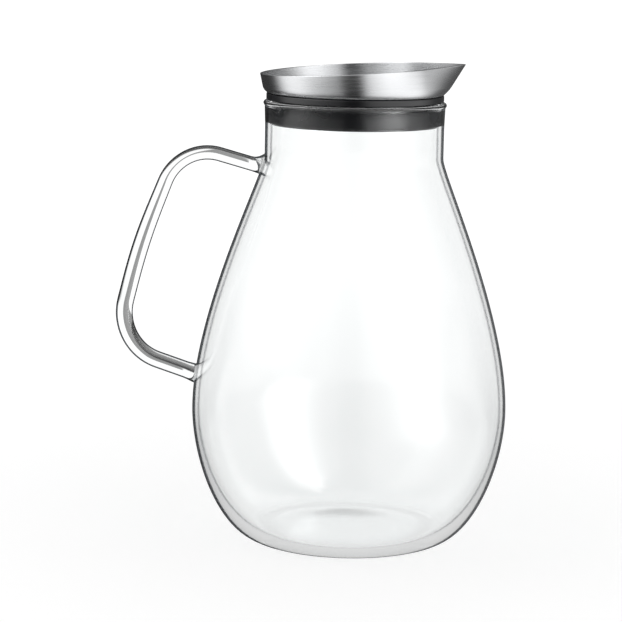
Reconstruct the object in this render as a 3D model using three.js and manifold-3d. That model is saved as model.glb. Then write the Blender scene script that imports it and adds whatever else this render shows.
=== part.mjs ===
// A glass pitcher with a lift-off pouring lid.
// The jug is a pear-shaped borosilicate vessel with a bent glass rod welded on as its handle. The lid is a
// brushed steel pouring collar on a plastic plug with a silicone sleeve that grips the neck. A hinged flap
// closes the throat of the lid and tips open as the drink is poured, and a strainer lies below it.
// Millimetres, +Z up. The origin is on the table, on the jug's axis. The handle is on -X and the spout on +X.
import * as THREE from "three";
import { mergeVertices } from "three/addons/utils/BufferGeometryUtils.js";
import Module from "manifold-3d";

const wasm = await Module();
wasm.setup();

// Jug: outside sizes of the glass, and how far each curve runs on before it turns
const glassHeight = 221;
const baseRadius = 45.5;
const bellyRadius = 79.2;
const bellyHeight = 66;
const neckRadius = 44.5;
const neckLength = 28;
const lipFlare = 1;
const lipLength = 13;
const baseRun = 18.5;
const bellyRunDown = 28;
const bellyRunUp = 48;
const neckRunDown = 7.5;
const glassWall = 2.5;
const baseThickness = 4;

// Handle: a round glass rod, thickened into a foot where it is welded to the jug
const rodRadius = 4.3;
const upperArmRadius = 3.5;
const upperFootRadius = 5.8;
const lowerFootRadius = 5;
const footLength = 6;
const upperJointDrop = 34.5;
const lowerJointRise = 16.8;
const upperArmReach = 40.6;
const upperArmRise = 14.7;
const upperBendRadius = 25;
const lowerArmReach = 44;
const lowerArmRise = 12.4;
const lowerBendRadius = 28;

// Clearances: between pieces that are pressed or clamped together, and where one turns or slips in another
const fitGap = 0.3;
const runGap = 0.35;

// Neck seal: a silicone sleeve with a flange that sits on the glass lip
const sealFlangeThickness = 3.3;
const sealFlangeInset = 1.4;
const sealDepth = 11.5;
const sleeveThickness = 2.4;
const sleeveGroove = 0.5;
const sleeveLipHeight = 2.2;
const sealEdgeRadius = 1.6;
const sealToeReach = 1;
const sealToeThickness = 0.8;

// Pouring collar: a steel dish with a slanted rim that is drawn out into a spout
const collarOverhang = 1;
const collarCorner = 3.2;
const collarSheet = 0.8;
const collarRearHeight = 9.6;
const collarSpoutHeight = 15.7;
const collarRimSetback = 1.9;
const spoutWedge = THREE.MathUtils.degToRad(40.2);
const spoutSoftness = THREE.MathUtils.degToRad(4);

// Flap frame: a plastic ring that clamps the collar to the plug and carries the hinge
const frameFlangeThickness = 1.2;
const skirtThickness = 2.1;
const ledgeWidth = 3.2;
const ledgeThickness = 1.5;
const gasketThickness = 0.5;
const earThickness = 3;
const earRadius = 2.2;

// Flap: a steel disc with a plastic backing, a silicone ring and a rolled hinge leaf
const flapSheet = 0.8;
const flapClearance = 0.6;
const backingThickness = 2.2;
const flapSealWidth = 1.3;
const flapSealInset = 0.2;
const leafSheet = 0.8;
const leafWidth = 10;
const pinSetback = 4;
const pinRadius = 0.9;
const barrelRadius = 1.9;
const stopReach = 3.4;
const stopAngle = THREE.MathUtils.degToRad(80);
const rivetRadius = 1.2;
const rivetHeadRadius = 2;
const rivetHeadHeight = 0.7;
const rivetSpacing = 5;

// Plug: a plastic ring inside the sleeve
const plugWall = 0.7;
const plugEdgeChamfer = 0.8;
const strainerSheet = 0.6;
const strainerSeat = 1.2;
const strainerLipHeight = 0.5;
const strainerLipReach = 0.8;
const strainerHoleRadius = 1.9;
const strainerHolePitch = 7.2;

// Screws that clamp the frame, the collar and the plug together
const screwCount = 4;
const screwRadius = 1.1;
const screwHeadRadius = 2;
const screwHeadHeight = 1.4;
const screwSink = 0.5;
const screwDriveRadius = 0.8;
const bossRadius = 2.2;
const bossLength = 5;

// Levels and radii that follow from the sizes above
const overrun = 1;
const lipRadius = neckRadius + lipFlare;
const collarRadius = neckRadius + collarOverhang;
const sleeveRadius = neckRadius - glassWall - fitGap;
const plugRadius = sleeveRadius - sleeveThickness - fitGap;
const screwCircleRadius = plugRadius - plugWall - fitGap - bossRadius;
const skirtRadius = screwCircleRadius - bossRadius - fitGap - plugWall - fitGap;
const throatRadius = skirtRadius - skirtThickness;
const plugBoreRadius = throatRadius + fitGap;
const flapRadius = throatRadius - flapClearance;
const neckBottom = glassHeight - neckLength;
const lipBottom = glassHeight - lipLength;
const sealBottom = glassHeight - sealDepth;
const flangeBottom = glassHeight + fitGap;
const floorBottom = flangeBottom + sealFlangeThickness;
const floorTop = floorBottom + collarSheet;
const gasketTop = floorTop + gasketThickness;
const frameTop = gasketTop + frameFlangeThickness;
const flapTop = frameTop + fitGap;
const flapBottom = flapTop - flapSheet;
const backingBottom = flapBottom - backingThickness;
const ledgeTop = backingBottom - 2 * fitGap;
const ledgeBottom = ledgeTop - ledgeThickness;
const plugBottom = sealBottom + sealToeThickness + fitGap;
const skirtSeat = ledgeBottom - fitGap;
const strainerBottom = plugBottom + strainerLipHeight + fitGap;
const strainerTop = strainerBottom + strainerSheet;
const seatTop = strainerTop + fitGap;
const strainerRadius = plugBoreRadius + strainerSeat - fitGap;
const pinX = -(throatRadius + pinSetback);
const pinZ = frameTop + barrelRadius + runGap;
const earInside = leafWidth / 2 + 2 * fitGap;
const earOutside = earInside + earThickness;
const bossBottom = gasketTop - bossLength;
const screwHeadBottom = plugBottom + screwSink;
const screwHeadTop = screwHeadBottom + screwHeadHeight;
const flangeMiddle = (gasketTop + frameTop) / 2;
const screwTip = gasketTop;

// How finely round stretches are divided
const roundSides = 48;
const rodSides = 12;
const smallSides = 12;
const holeSides = 8;
const driveSides = 6;
const lowerCurveSteps = 7;
const upperCurveSteps = 10;
const bendSteps = 9;
const cornerSteps = 3;
const lipSteps = 5;
const wallSteps = 3;
const weldDistance = 1e-4;

const clearGlass = new THREE.MeshStandardMaterial({ color: 0xeaf3f2, roughness: 0.05, metalness: 0 });
const brushedSteel = new THREE.MeshStandardMaterial({ color: 0xb9babb, roughness: 0.3, metalness: 1 });
const brightSteel = new THREE.MeshStandardMaterial({ color: 0xc9cacb, roughness: 0.2, metalness: 1 });
const blackSilicone = new THREE.MeshStandardMaterial({ color: 0x1d1d1f, roughness: 0.55, metalness: 0 });
const blackPlastic = new THREE.MeshStandardMaterial({ color: 0x222224, roughness: 0.4, metalness: 0 });

// A closed geometry as a solid that can be cut and joined
function solidOf(geometry) {
  const bare = geometry.index ? geometry.toNonIndexed() : geometry.clone();
  bare.deleteAttribute("normal");
  bare.deleteAttribute("uv");
  const merged = mergeVertices(bare, weldDistance);
  return new wasm.Manifold(
    new wasm.Mesh({
      numProp: 3,
      vertProperties: merged.attributes.position.array,
      triVerts: new Uint32Array(merged.index.array),
    }),
  );
}

function geometryOf(solid) {
  const mesh = solid.getMesh();
  const geometry = new THREE.BufferGeometry();
  geometry.setAttribute("position", new THREE.BufferAttribute(mesh.vertProperties, 3));
  geometry.setIndex(new THREE.BufferAttribute(mesh.triVerts, 1));
  geometry.computeVertexNormals();
  return geometry;
}

// A round piece about the Z axis: its outline is a list of [radius, height], counter-clockwise
function turned(outline) {
  const points = outline.map(([radius, height]) => new THREE.Vector2(radius, height));
  return new THREE.LatheGeometry(points, roundSides).rotateX(Math.PI / 2);
}

// Points round an arc in [radius, height], between two angles in degrees counted from outwards to upwards
function arc(centreRadius, centreHeight, bend, from, to, steps) {
  return Array.from({ length: steps + 1 }, (_, step) => {
    const turn = THREE.MathUtils.degToRad(from + ((to - from) * step) / steps);
    return [centreRadius + bend * Math.cos(turn), centreHeight + bend * Math.sin(turn)];
  });
}

// A closed ring of rectangular section
function ring(inner, outer, bottom, top) {
  return turned([[inner, bottom], [outer, bottom], [outer, top], [inner, top], [inner, bottom]]);
}

// A flat round plate
function plate(radius, bottom, top) {
  return turned([[0, bottom], [radius, bottom], [radius, top], [0, top]]);
}

// An upright round bar from one height to another, at a place in plan
function post(radius, bottom, top, x, y, sides = smallSides) {
  const bar = new THREE.CylinderGeometry(radius, radius, top - bottom, sides);
  return bar.rotateX(Math.PI / 2).translate(x, y, (bottom + top) / 2);
}

// Cuts an upright round hole through a solid at each place, right through between two heights
function drilled(solid, places, radius, bottom, top, sides = smallSides) {
  let cut = solid;
  for (const [x, y] of places) cut = cut.subtract(solidOf(post(radius, bottom, top, x, y, sides)));
  return cut;
}

// A round bar across the pitcher, along Y
function crossBar(radius, length, x, y, z) {
  return new THREE.CylinderGeometry(radius, radius, length, smallSides).translate(x, y, z);
}

function block(x0, x1, y0, y1, z0, z1) {
  const box = new THREE.BoxGeometry(x1 - x0, y1 - y0, z1 - z0);
  return box.translate((x0 + x1) / 2, (y0 + y1) / 2, (z0 + z1) / 2);
}

// Points of a Bezier curve in [radius, height], without its first point
function curvePoints(start, pullStart, pullEnd, end, steps) {
  const corners = [start, pullStart, pullEnd, end];
  const curve = new THREE.CubicBezierCurve(...corners.map((corner) => new THREE.Vector2(...corner)));
  return curve.getPoints(steps).slice(1).map((point) => [point.x, point.y]);
}

// One side of the glass, from the base up to the lip. A skin is how far it lies inside the outer surface.
function glassSide(skin, floor) {
  const base = baseRadius - skin;
  const belly = bellyRadius - skin;
  const neck = neckRadius - skin;
  const widest = [belly, bellyHeight];
  const waist = [neck, neckBottom];
  return [
    [base, floor],
    ...curvePoints([base, floor], [base + baseRun, floor], [belly, bellyHeight - bellyRunDown], widest,
      lowerCurveSteps),
    ...curvePoints(widest, [belly, bellyHeight + bellyRunUp], [neck, neckBottom - neckRunDown], waist,
      upperCurveSteps),
    [neck, lipBottom],
  ];
}

// The glass's outside radius at a height, read off its outline
function glassRadiusAt(height) {
  const side = glassSide(0, 0);
  const above = side.findIndex(([, level]) => level >= height);
  const [r0, z0] = side[above - 1];
  const [r1, z1] = side[above];
  return r0 + ((r1 - r0) * (height - z0)) / (z1 - z0);
}

function glassBody() {
  const lipBend = glassWall / 2;
  const lip = arc(lipRadius - lipBend, glassHeight - lipBend, lipBend, -60, 130, lipSteps);
  const inside = glassSide(glassWall, baseThickness).reverse();
  return turned([[0, 0], ...glassSide(0, 0), ...lip, ...inside, [0, baseThickness]]);
}

// The handle's centre line in [x, z], with its two bends as arcs
function handleLine(upperJoint, lowerJoint) {
  const upperCorner = new THREE.Vector2(upperJoint.x - upperArmReach, upperJoint.y + upperArmRise);
  const lowerCorner = new THREE.Vector2(lowerJoint.x - lowerArmReach, lowerJoint.y + lowerArmRise);
  const bends = [
    [upperJoint, upperCorner, lowerCorner, upperBendRadius],
    [upperCorner, lowerCorner, lowerJoint, lowerBendRadius],
  ];
  const line = [upperJoint];
  for (const [before, corner, after, radius] of bends) {
    const back = before.clone().sub(corner).normalize();
    const on = after.clone().sub(corner).normalize();
    const half = Math.acos(back.dot(on)) / 2;
    const bisector = back.clone().add(on).normalize();
    const centre = corner.clone().addScaledVector(bisector, radius / Math.sin(half));
    const first = corner.clone().addScaledVector(back, radius / Math.tan(half)).sub(centre);
    const sweep = Math.PI - 2 * half;
    for (let step = 0; step <= bendSteps; step += 1) {
      line.push(first.clone().rotateAround(new THREE.Vector2(), (sweep * step) / bendSteps).add(centre));
    }
  }
  line.push(lowerJoint);
  return line;
}

// The rod swept along its line. It is thickest at its feet, and runs on into the jug to be cut to its wall.
function handleRod(line) {
  const points = [];
  line.forEach((point, index) => {
    const next = line[index + 1];
    points.push(point);
    if (!next) return;
    const pieces = Math.max(1, Math.round(point.distanceTo(next) / (footLength / 2)));
    const wanted = index === 0 || index === line.length - 2 ? pieces : 1;
    for (let piece = 1; piece < wanted; piece += 1) points.push(point.clone().lerp(next, piece / wanted));
  });
  const intoWall = (end, towards) => end.clone().add(end.clone().sub(towards).setLength(footLength));
  points.unshift(intoWall(points[0], points[1]));
  points.push(intoWall(points.at(-1), points.at(-2)));
  const travelled = [0];
  for (let k = 1; k < points.length; k += 1) {
    travelled.push(travelled[k - 1] + points[k].distanceTo(points[k - 1]));
  }
  const total = travelled.at(-1);
  const positions = [];
  points.forEach((point, index) => {
    const before = points[Math.max(0, index - 1)];
    const after = points[Math.min(points.length - 1, index + 1)];
    const along = after.clone().sub(before).normalize();
    const fromUpper = travelled[index] - footLength;
    const fromLower = total - travelled[index] - footLength;
    const flare = (distance) => THREE.MathUtils.clamp(1 - distance / footLength, 0, 1) ** 2;
    const thinning = THREE.MathUtils.smoothstep(fromUpper, 0, upperArmReach);
    const plain = THREE.MathUtils.lerp(upperArmRadius, rodRadius, thinning);
    const upperSwell = (upperFootRadius - plain) * flare(fromUpper);
    const lowerSwell = (lowerFootRadius - plain) * flare(fromLower);
    const radius = plain + upperSwell + lowerSwell;
    for (let side = 0; side < rodSides; side += 1) {
      const turn = (side / rodSides) * 2 * Math.PI;
      const outward = radius * Math.cos(turn);
      positions.push(point.x - along.y * outward, radius * Math.sin(turn), point.y + along.x * outward);
    }
  });
  const faces = [];
  const rings = points.length;
  for (let r = 0; r < rings - 1; r += 1) {
    for (let s = 0; s < rodSides; s += 1) {
      const a = r * rodSides + s;
      const b = r * rodSides + ((s + 1) % rodSides);
      faces.push(a, a + rodSides, b, b, a + rodSides, b + rodSides);
    }
  }
  for (let s = 1; s < rodSides - 1; s += 1) {
    const last = (rings - 1) * rodSides;
    faces.push(0, s, s + 1, last, last + s + 1, last + s);
  }
  const rod = new THREE.BufferGeometry();
  rod.setAttribute("position", new THREE.Float32BufferAttribute(positions, 3));
  rod.setIndex(faces);
  return rod;
}

function glassHandle() {
  const upperHeight = glassHeight - upperJointDrop;
  const lowerHeight = bellyHeight + lowerJointRise;
  const upperJoint = new THREE.Vector2(-glassRadiusAt(upperHeight), upperHeight);
  const lowerJoint = new THREE.Vector2(-glassRadiusAt(lowerHeight), lowerHeight);
  const rod = solidOf(handleRod(handleLine(upperJoint, lowerJoint)));
  const jugShape = solidOf(turned([[0, 0], ...glassSide(-fitGap, 0), [0, lipBottom]]));
  return geometryOf(rod.subtract(jugShape));
}

function neckSeal() {
  const flangeRadius = lipRadius - sealFlangeInset;
  const inner = plugRadius + fitGap;
  const waist = sleeveRadius - sleeveGroove;
  const edge = sealEdgeRadius;
  const upperLip = flangeBottom - sleeveLipHeight;
  return turned([
    [inner - sealToeReach, sealBottom],
    ...arc(sleeveRadius - edge, sealBottom + edge, edge, -90, 0, cornerSteps),
    [sleeveRadius, upperLip - sleeveGroove],
    [waist, upperLip],
    [waist, flangeBottom],
    [flangeRadius, flangeBottom],
    [flangeRadius, floorBottom],
    [inner, floorBottom],
    [inner, sealBottom + sealToeThickness],
    [inner - sealToeReach, sealBottom + sealToeThickness],
    [inner - sealToeReach, sealBottom],
  ]);
}

// Places of the clamping screws in plan, between the hinge and the spout
function screwPlaces() {
  return Array.from({ length: screwCount }, (_, index) => {
    const turn = ((index + 0.5) / screwCount) * 2 * Math.PI;
    return [screwCircleRadius * Math.cos(turn), screwCircleRadius * Math.sin(turn)];
  });
}

function plugBody() {
  const counterbore = skirtRadius + fitGap;
  const grooveRadius = plugBoreRadius + strainerSeat;
  const lipRadiusInside = grooveRadius - strainerLipReach;
  let plug = solidOf(turned([
    [lipRadiusInside, plugBottom],
    [plugRadius - plugEdgeChamfer, plugBottom],
    [plugRadius, plugBottom + plugEdgeChamfer],
    [plugRadius, floorBottom],
    [counterbore, floorBottom],
    [counterbore, skirtSeat],
    [plugBoreRadius, skirtSeat],
    [plugBoreRadius, seatTop],
    [grooveRadius, seatTop],
    [grooveRadius, plugBottom + strainerLipHeight],
    [lipRadiusInside, plugBottom + strainerLipHeight],
    [lipRadiusInside, plugBottom],
  ]));
  const below = plugBottom - overrun;
  const above = floorBottom + overrun;
  plug = drilled(plug, screwPlaces(), screwRadius + fitGap, below, above);
  plug = drilled(plug, screwPlaces(), screwHeadRadius + fitGap, below, screwHeadTop + fitGap);
  plug = drilled(plug, screwPlaces(), bossRadius + fitGap, bossBottom - fitGap, above);
  return geometryOf(plug);
}

// Places on a triangular grid, as many as fit inside the plug's bore
function strainerHolePlaces() {
  const rowPitch = strainerHolePitch * Math.sin(Math.PI / 3);
  const reach = plugBoreRadius - 2 * strainerHoleRadius;
  const rows = Math.floor(reach / rowPitch);
  const halfRow = Math.ceil(reach / strainerHolePitch);
  const places = [];
  for (let row = -rows; row <= rows; row += 1) {
    const shift = row % 2 ? strainerHolePitch / 2 : 0;
    for (let step = -halfRow; step <= halfRow; step += 1) {
      const place = [step * strainerHolePitch + shift, row * rowPitch];
      if (Math.hypot(...place) <= reach) places.push(place);
    }
  }
  return places;
}

function strainerDisc() {
  const disc = solidOf(plate(strainerRadius, strainerBottom, strainerTop));
  const below = strainerBottom - overrun;
  return geometryOf(
    drilled(disc, strainerHolePlaces(), strainerHoleRadius, below, strainerTop + overrun, holeSides),
  );
}

// The rim seen from above: a circle with straight sides running to a softened point at the spout
function rimReach(turn) {
  const lean = spoutWedge - Math.hypot(turn, spoutSoftness);
  return lean > 0 ? collarRadius / Math.cos(lean) : collarRadius;
}

// A round dish is turned first. Its wall is then leant out to the rim's shape and raised towards the spout.
function pourCollar() {
  const corner = (bend) => (
    arc(collarRadius - collarCorner, floorBottom + collarCorner, bend, -90, 0, cornerSteps)
  );
  const wallTop = floorBottom + collarRearHeight;
  const heights = Array.from({ length: wallSteps }, (_, step) => (
    THREE.MathUtils.lerp(floorBottom + collarCorner, wallTop, (step + 1) / wallSteps)
  ));
  const inside = collarRadius - collarSheet;
  const hole = skirtRadius + fitGap;
  const dish = turned([
    [hole, floorBottom],
    ...corner(collarCorner),
    ...heights.map((height) => [collarRadius, height]),
    ...heights.toReversed().map((height) => [inside, height]),
    ...corner(collarCorner - collarSheet).reverse(),
    [hole, floorTop],
    [hole, floorBottom],
  ]);
  const place = dish.attributes.position;
  const rearX = -collarRimSetback - collarRadius;
  const spoutX = -collarRimSetback + rimReach(0);
  for (let k = 0; k < place.count; k += 1) {
    const [x, y, z] = [place.getX(k), place.getY(k), place.getZ(k)];
    const turn = Math.atan2(y, x);
    const rise = Math.max(0, (z - floorTop) / (wallTop - floorTop));
    const lean = rimReach(turn) - collarRadius;
    const rimX = -collarRimSetback + rimReach(turn) * Math.cos(turn);
    const lift = ((collarSpoutHeight - collarRearHeight) * (rimX - rearX)) / (spoutX - rearX);
    place.setXYZ(
      k,
      x + rise * (lean * Math.cos(turn) - collarRimSetback),
      y + rise * lean * Math.sin(turn),
      z + rise * lift,
    );
  }
  return geometryOf(
    drilled(solidOf(dish), screwPlaces(), bossRadius + fitGap, floorBottom - overrun, floorTop + overrun),
  );
}

function collarGasket() {
  const gasket = solidOf(ring(skirtRadius + fitGap, plugRadius, floorTop, gasketTop));
  return geometryOf(
    drilled(gasket, screwPlaces(), bossRadius + fitGap, floorTop - overrun, gasketTop + overrun),
  );
}

function flapFrame() {
  const ledgeRadius = throatRadius - ledgeWidth;
  let frame = solidOf(turned([
    [ledgeRadius, ledgeBottom],
    [skirtRadius, ledgeBottom],
    [skirtRadius, gasketTop],
    [plugRadius, gasketTop],
    [plugRadius, frameTop],
    [throatRadius, frameTop],
    [throatRadius, ledgeTop],
    [ledgeRadius, ledgeTop],
    [ledgeRadius, ledgeBottom],
  ]));
  for (const [x, y] of screwPlaces()) {
    frame = frame.add(solidOf(post(bossRadius, bossBottom, flangeMiddle, x, y)));
  }
  frame = drilled(frame, screwPlaces(), screwRadius + fitGap, bossBottom - overrun, screwTip + fitGap);
  for (const side of [-1, 1]) {
    const middle = (side * (earInside + earOutside)) / 2;
    const near = middle - earThickness / 2;
    const far = middle + earThickness / 2;
    frame = frame.add(solidOf(block(pinX - earRadius, pinX + earRadius, near, far, flangeMiddle, pinZ)));
    frame = frame.add(solidOf(crossBar(earRadius, earThickness, pinX, middle, pinZ)));
  }
  const pinHole = crossBar(pinRadius + fitGap, 2 * (earOutside + overrun), pinX, 0, pinZ);
  return geometryOf(frame.subtract(solidOf(pinHole)));
}

function clampScrew(x, y) {
  const head = solidOf(post(screwHeadRadius, screwHeadBottom, screwHeadTop, x, y));
  const shank = solidOf(post(screwRadius, screwHeadTop - screwSink, screwTip, x, y));
  const driveTop = screwHeadBottom + screwHeadHeight / 2;
  const drive = solidOf(post(screwDriveRadius, screwHeadBottom - overrun, driveTop, x, y, driveSides));
  return geometryOf(head.add(shank).subtract(drive));
}

// The rivets stand in a row along the hinge leaf, with their lower heads clear of the ledge
function rivetPlaces() {
  const first = -(throatRadius - ledgeWidth) + rivetHeadRadius + 2 * fitGap;
  return [[first, 0], [first + rivetSpacing, 0]];
}

// A layer of the flap, with the holes for its rivets
function riveted(layer, bottom, top) {
  return drilled(layer, rivetPlaces(), rivetRadius + fitGap, bottom - overrun, top + overrun);
}

function flapDisc() {
  return geometryOf(riveted(solidOf(plate(flapRadius, flapBottom, flapTop)), flapBottom, flapTop));
}

function flapBacking() {
  const radius = flapRadius - flapSealInset - flapSealWidth - fitGap;
  const backing = solidOf(plate(radius, backingBottom, flapBottom));
  return geometryOf(riveted(backing, backingBottom, flapBottom));
}

function flapSeal() {
  const outer = flapRadius - flapSealInset;
  return ring(outer - flapSealWidth, outer, ledgeTop + fitGap, flapBottom);
}

// A steel strip on top of the flap, rolled round the pin at its rear end. Its end stands out of the roll as
// a stop, which comes down on the frame when the flap has opened far enough.
function hingeLeaf() {
  const front = rivetPlaces().at(-1)[0] + rivetHeadRadius + fitGap;
  const half = leafWidth / 2;
  let leaf = solidOf(block(pinX, front, -half, half, flapTop, flapTop + leafSheet));
  leaf = leaf.add(solidOf(crossBar(barrelRadius, leafWidth, pinX, 0, pinZ)));
  const landing = Math.asin((pinZ - frameTop - fitGap - leafSheet / 2) / stopReach);
  const stop = block(-stopReach, 0, -half, half, -leafSheet / 2, leafSheet / 2);
  leaf = leaf.add(solidOf(stop.rotateY(stopAngle - landing).translate(pinX, 0, pinZ)));
  leaf = leaf.subtract(solidOf(crossBar(pinRadius + fitGap, leafWidth + 2 * overrun, pinX, 0, pinZ)));
  return geometryOf(riveted(leaf, flapTop, flapTop + leafSheet));
}

function flapRivet(x, y) {
  const leafTop = flapTop + leafSheet;
  const topHead = post(rivetHeadRadius, leafTop, leafTop + rivetHeadHeight, x, y);
  const intoHead = rivetHeadHeight / 2;
  const shank = post(rivetRadius, backingBottom - intoHead, leafTop + intoHead, x, y);
  const lowerHead = post(rivetHeadRadius, backingBottom - rivetHeadHeight, backingBottom, x, y);
  return geometryOf(solidOf(topHead).add(solidOf(shank)).add(solidOf(lowerHead)));
}

function hingePin() {
  return crossBar(pinRadius, 2 * earOutside, pinX, 0, pinZ);
}

const pitcher = new THREE.Group();

function addPiece(name, geometry, material) {
  const mesh = new THREE.Mesh(geometry, material);
  mesh.name = name;
  pitcher.add(mesh);
}

addPiece("glass_body", glassBody(), clearGlass);
addPiece("glass_handle", glassHandle(), clearGlass);
addPiece("neck_seal", neckSeal(), blackSilicone);
addPiece("plug_body", plugBody(), blackPlastic);
addPiece("strainer", strainerDisc(), brightSteel);
addPiece("pour_collar", pourCollar(), brushedSteel);
addPiece("collar_gasket", collarGasket(), blackSilicone);
addPiece("flap_frame", flapFrame(), blackPlastic);
screwPlaces().forEach(([x, y], index) => addPiece(`clamp_screw_${index + 1}`, clampScrew(x, y), brightSteel));
addPiece("hinge_pin", hingePin(), brightSteel);
addPiece("flap_disc", flapDisc(), brushedSteel);
addPiece("flap_backing", flapBacking(), blackPlastic);
addPiece("flap_seal", flapSeal(), blackSilicone);
addPiece("hinge_leaf", hingeLeaf(), brushedSteel);
rivetPlaces().forEach(([x, y], index) => addPiece(`flap_rivet_${index + 1}`, flapRivet(x, y), brightSteel));

export default pitcher;
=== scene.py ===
# %% [markdown]
# # A glass pitcher with a steel pouring lid
#
# The pitcher is a pear-shaped jug of clear borosilicate glass with a bent glass rod as its handle. A black
# silicone seal sits in its neck, and the seal holds a lid: a dish of brushed steel with a spout, clamped to
# a plastic plug. A hinged flap closes the lid and a strainer lies below it.
#
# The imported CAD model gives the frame, the bodies and nearly every size. This script models each piece
# again, finer, in the same frame: metres, with Z up along the jug's axis, the spout towards +X and the
# handle towards -X.

# %% Load the frame
import math
import bmesh
import bpy
from mathutils import Matrix, Vector
from mathutils.geometry import interpolate_bezier


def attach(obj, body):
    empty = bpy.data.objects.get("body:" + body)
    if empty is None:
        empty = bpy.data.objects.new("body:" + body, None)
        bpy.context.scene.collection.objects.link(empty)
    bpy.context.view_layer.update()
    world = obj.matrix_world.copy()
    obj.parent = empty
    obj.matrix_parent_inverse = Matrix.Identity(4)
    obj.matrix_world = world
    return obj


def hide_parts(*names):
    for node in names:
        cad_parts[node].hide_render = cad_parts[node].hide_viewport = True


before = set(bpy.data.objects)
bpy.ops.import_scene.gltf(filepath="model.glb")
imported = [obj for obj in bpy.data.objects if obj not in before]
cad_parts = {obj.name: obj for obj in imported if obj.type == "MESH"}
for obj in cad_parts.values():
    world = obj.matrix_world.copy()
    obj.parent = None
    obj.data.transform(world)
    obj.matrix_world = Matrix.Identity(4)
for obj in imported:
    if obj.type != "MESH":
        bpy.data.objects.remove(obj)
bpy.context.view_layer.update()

# %% [markdown]
# ## Working in millimetres
#
# A maker's drawing of a jug is in millimetres, and Blender's unit is the metre. Sizes of the pieces are
# written in millimetres and multiplied by MM where a mesh is made. Sizes of the stage are in metres.
#
# The sizes are the ones that the CAD source uses. Edges are rounded more finely, and in three places this
# model is closer to the real thing: the line and thickness of the handle, the seal's sleeve, which is
# pressed into the glass, and the underside of the jug, which is pushed up a little.

# %% Sizes that several pieces share
MM = 0.001
FULL_TURN = 2 * math.pi

GLASS_HEIGHT, BELLY_HEIGHT, NECK_BOTTOM, LIP_BOTTOM = 221, 66, 193, 208
BASE_RADIUS, BELLY_RADIUS, NECK_RADIUS, LIP_RADIUS = 45.5, 79.2, 44.5, 45.5
GLASS_WALL, BASE_THICKNESS = 2.5, 4

SEAL_BOTTOM, FLANGE_BOTTOM, FLOOR_BOTTOM, FLOOR_TOP = 209.5, 221.3, 224.6, 225.4
GASKET_TOP, FRAME_TOP, FLAP_TOP, FLAP_BOTTOM = 225.9, 227.1, 227.4, 226.6
PLUG_RADIUS, THROAT_RADIUS, FLAP_RADIUS, SKIRT_RADIUS = 39.0, 30.2, 29.6, 32.3
SCREW_CIRCLE, PIN_X, PIN_Z = 35.8, -34.2, 229.35
SHANK_RADIUS, HEAD_RADIUS, BOSS_RADIUS, RIVET_RADIUS = 1.1, 2, 2.2, 1.2
GAP = 0.3

ROUND_SIDES = 160
SMALL_SIDES = 32
print("glass", GLASS_HEIGHT, "mm high,", 2 * BELLY_RADIUS, "mm across the belly")

# %% [markdown]
# ## Turned pieces
#
# Nearly every piece of a jug and its lid is round: blown in a turning mould, spun, pressed or turned. A
# lathe works from half a section, and so does Blender: a few vertices joined by edges are the section, a
# vertex bevel rounds its corners, and the spin operator takes it once round the axis. The ends are merged,
# so the seam is closed, and a point on the axis becomes a single pole. A cylinder with bevelled edges could
# do for the plain pieces, but a section also holds grooves, undercuts and curved walls.

# %% Draw a half section
CORNER_STEPS = 5
MERGE_DISTANCE = 1e-7


def draw_section(mesh, corners, closed=True):
    """Draws a section in the XZ plane. A corner is (radius, height), or (radius, height, rounding)."""
    points = [mesh.verts.new((corner[0] * MM, 0, corner[1] * MM)) for corner in corners]
    pairs = list(zip(points, points[1:])) + ([(points[-1], points[0])] if closed else [])
    for pair in pairs:
        mesh.edges.new(pair)
    places = [point.co.copy() for point in points]
    for index, corner in enumerate(corners):
        if len(corner) < 3:
            continue
        here = places[index]
        half = (places[index - 1] - here).angle(places[(index + 1) % len(places)] - here) / 2
        bmesh.ops.bevel(mesh, geom=[points[index]], offset=corner[2] * MM / math.tan(half),
                        affect="VERTICES", segments=CORNER_STEPS, profile=0.5, material=-1)


def spin_round(mesh, sides=ROUND_SIDES):
    """Takes all that is drawn once round the Z axis and closes it."""
    bmesh.ops.spin(mesh, geom=mesh.verts[:] + mesh.edges[:], cent=(0, 0, 0), axis=(0, 0, 1), dvec=(0, 0, 0),
                   angle=FULL_TURN, steps=sides, use_merge=True, use_normal_flip=False, use_duplicate=False)
    bmesh.ops.remove_doubles(mesh, verts=mesh.verts[:], dist=MERGE_DISTANCE)
    bmesh.ops.recalc_face_normals(mesh, faces=mesh.faces[:])


def turn_section(corners, closed=True, sides=ROUND_SIDES):
    """A new bmesh with a section turned once round the Z axis."""
    mesh = bmesh.new()
    draw_section(mesh, corners, closed)
    spin_round(mesh, sides)
    return mesh


print("a wide piece is turned in", ROUND_SIDES, "steps and a small one in", SMALL_SIDES)

# %% [markdown]
# ## Cutting and joining
#
# Holes for screws, the hexagon in a screw's head and the ears on the flap's frame don't come from one
# section. In the workshop they are drilled or moulded, and here a Boolean does it: a second mesh is cut
# from the first one, or joined to it, and the modifier is applied at once so that the finished mesh is
# plain.

# %% A Boolean between two bmeshes
def as_object(mesh, name):
    data = bpy.data.meshes.new(name)
    mesh.to_mesh(data)
    mesh.free()
    made = bpy.data.objects.new(name, data)
    bpy.context.scene.collection.objects.link(made)
    return made


def combine(mesh, tool, operation):
    """Cuts the tool from a mesh or joins it to the mesh, and returns the result as a new bmesh."""
    base, other = as_object(mesh, "base"), as_object(tool, "tool")
    boolean = base.modifiers.new("boolean", "BOOLEAN")
    boolean.operation, boolean.solver, boolean.object = operation, "EXACT", other
    result = bmesh.new()
    result.from_object(base, bpy.context.evaluated_depsgraph_get())
    for used in (base, other):
        data = used.data
        bpy.data.objects.remove(used)
        bpy.data.meshes.remove(data)
    bmesh.ops.remove_doubles(result, verts=result.verts[:], dist=MERGE_DISTANCE)
    return result


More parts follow.
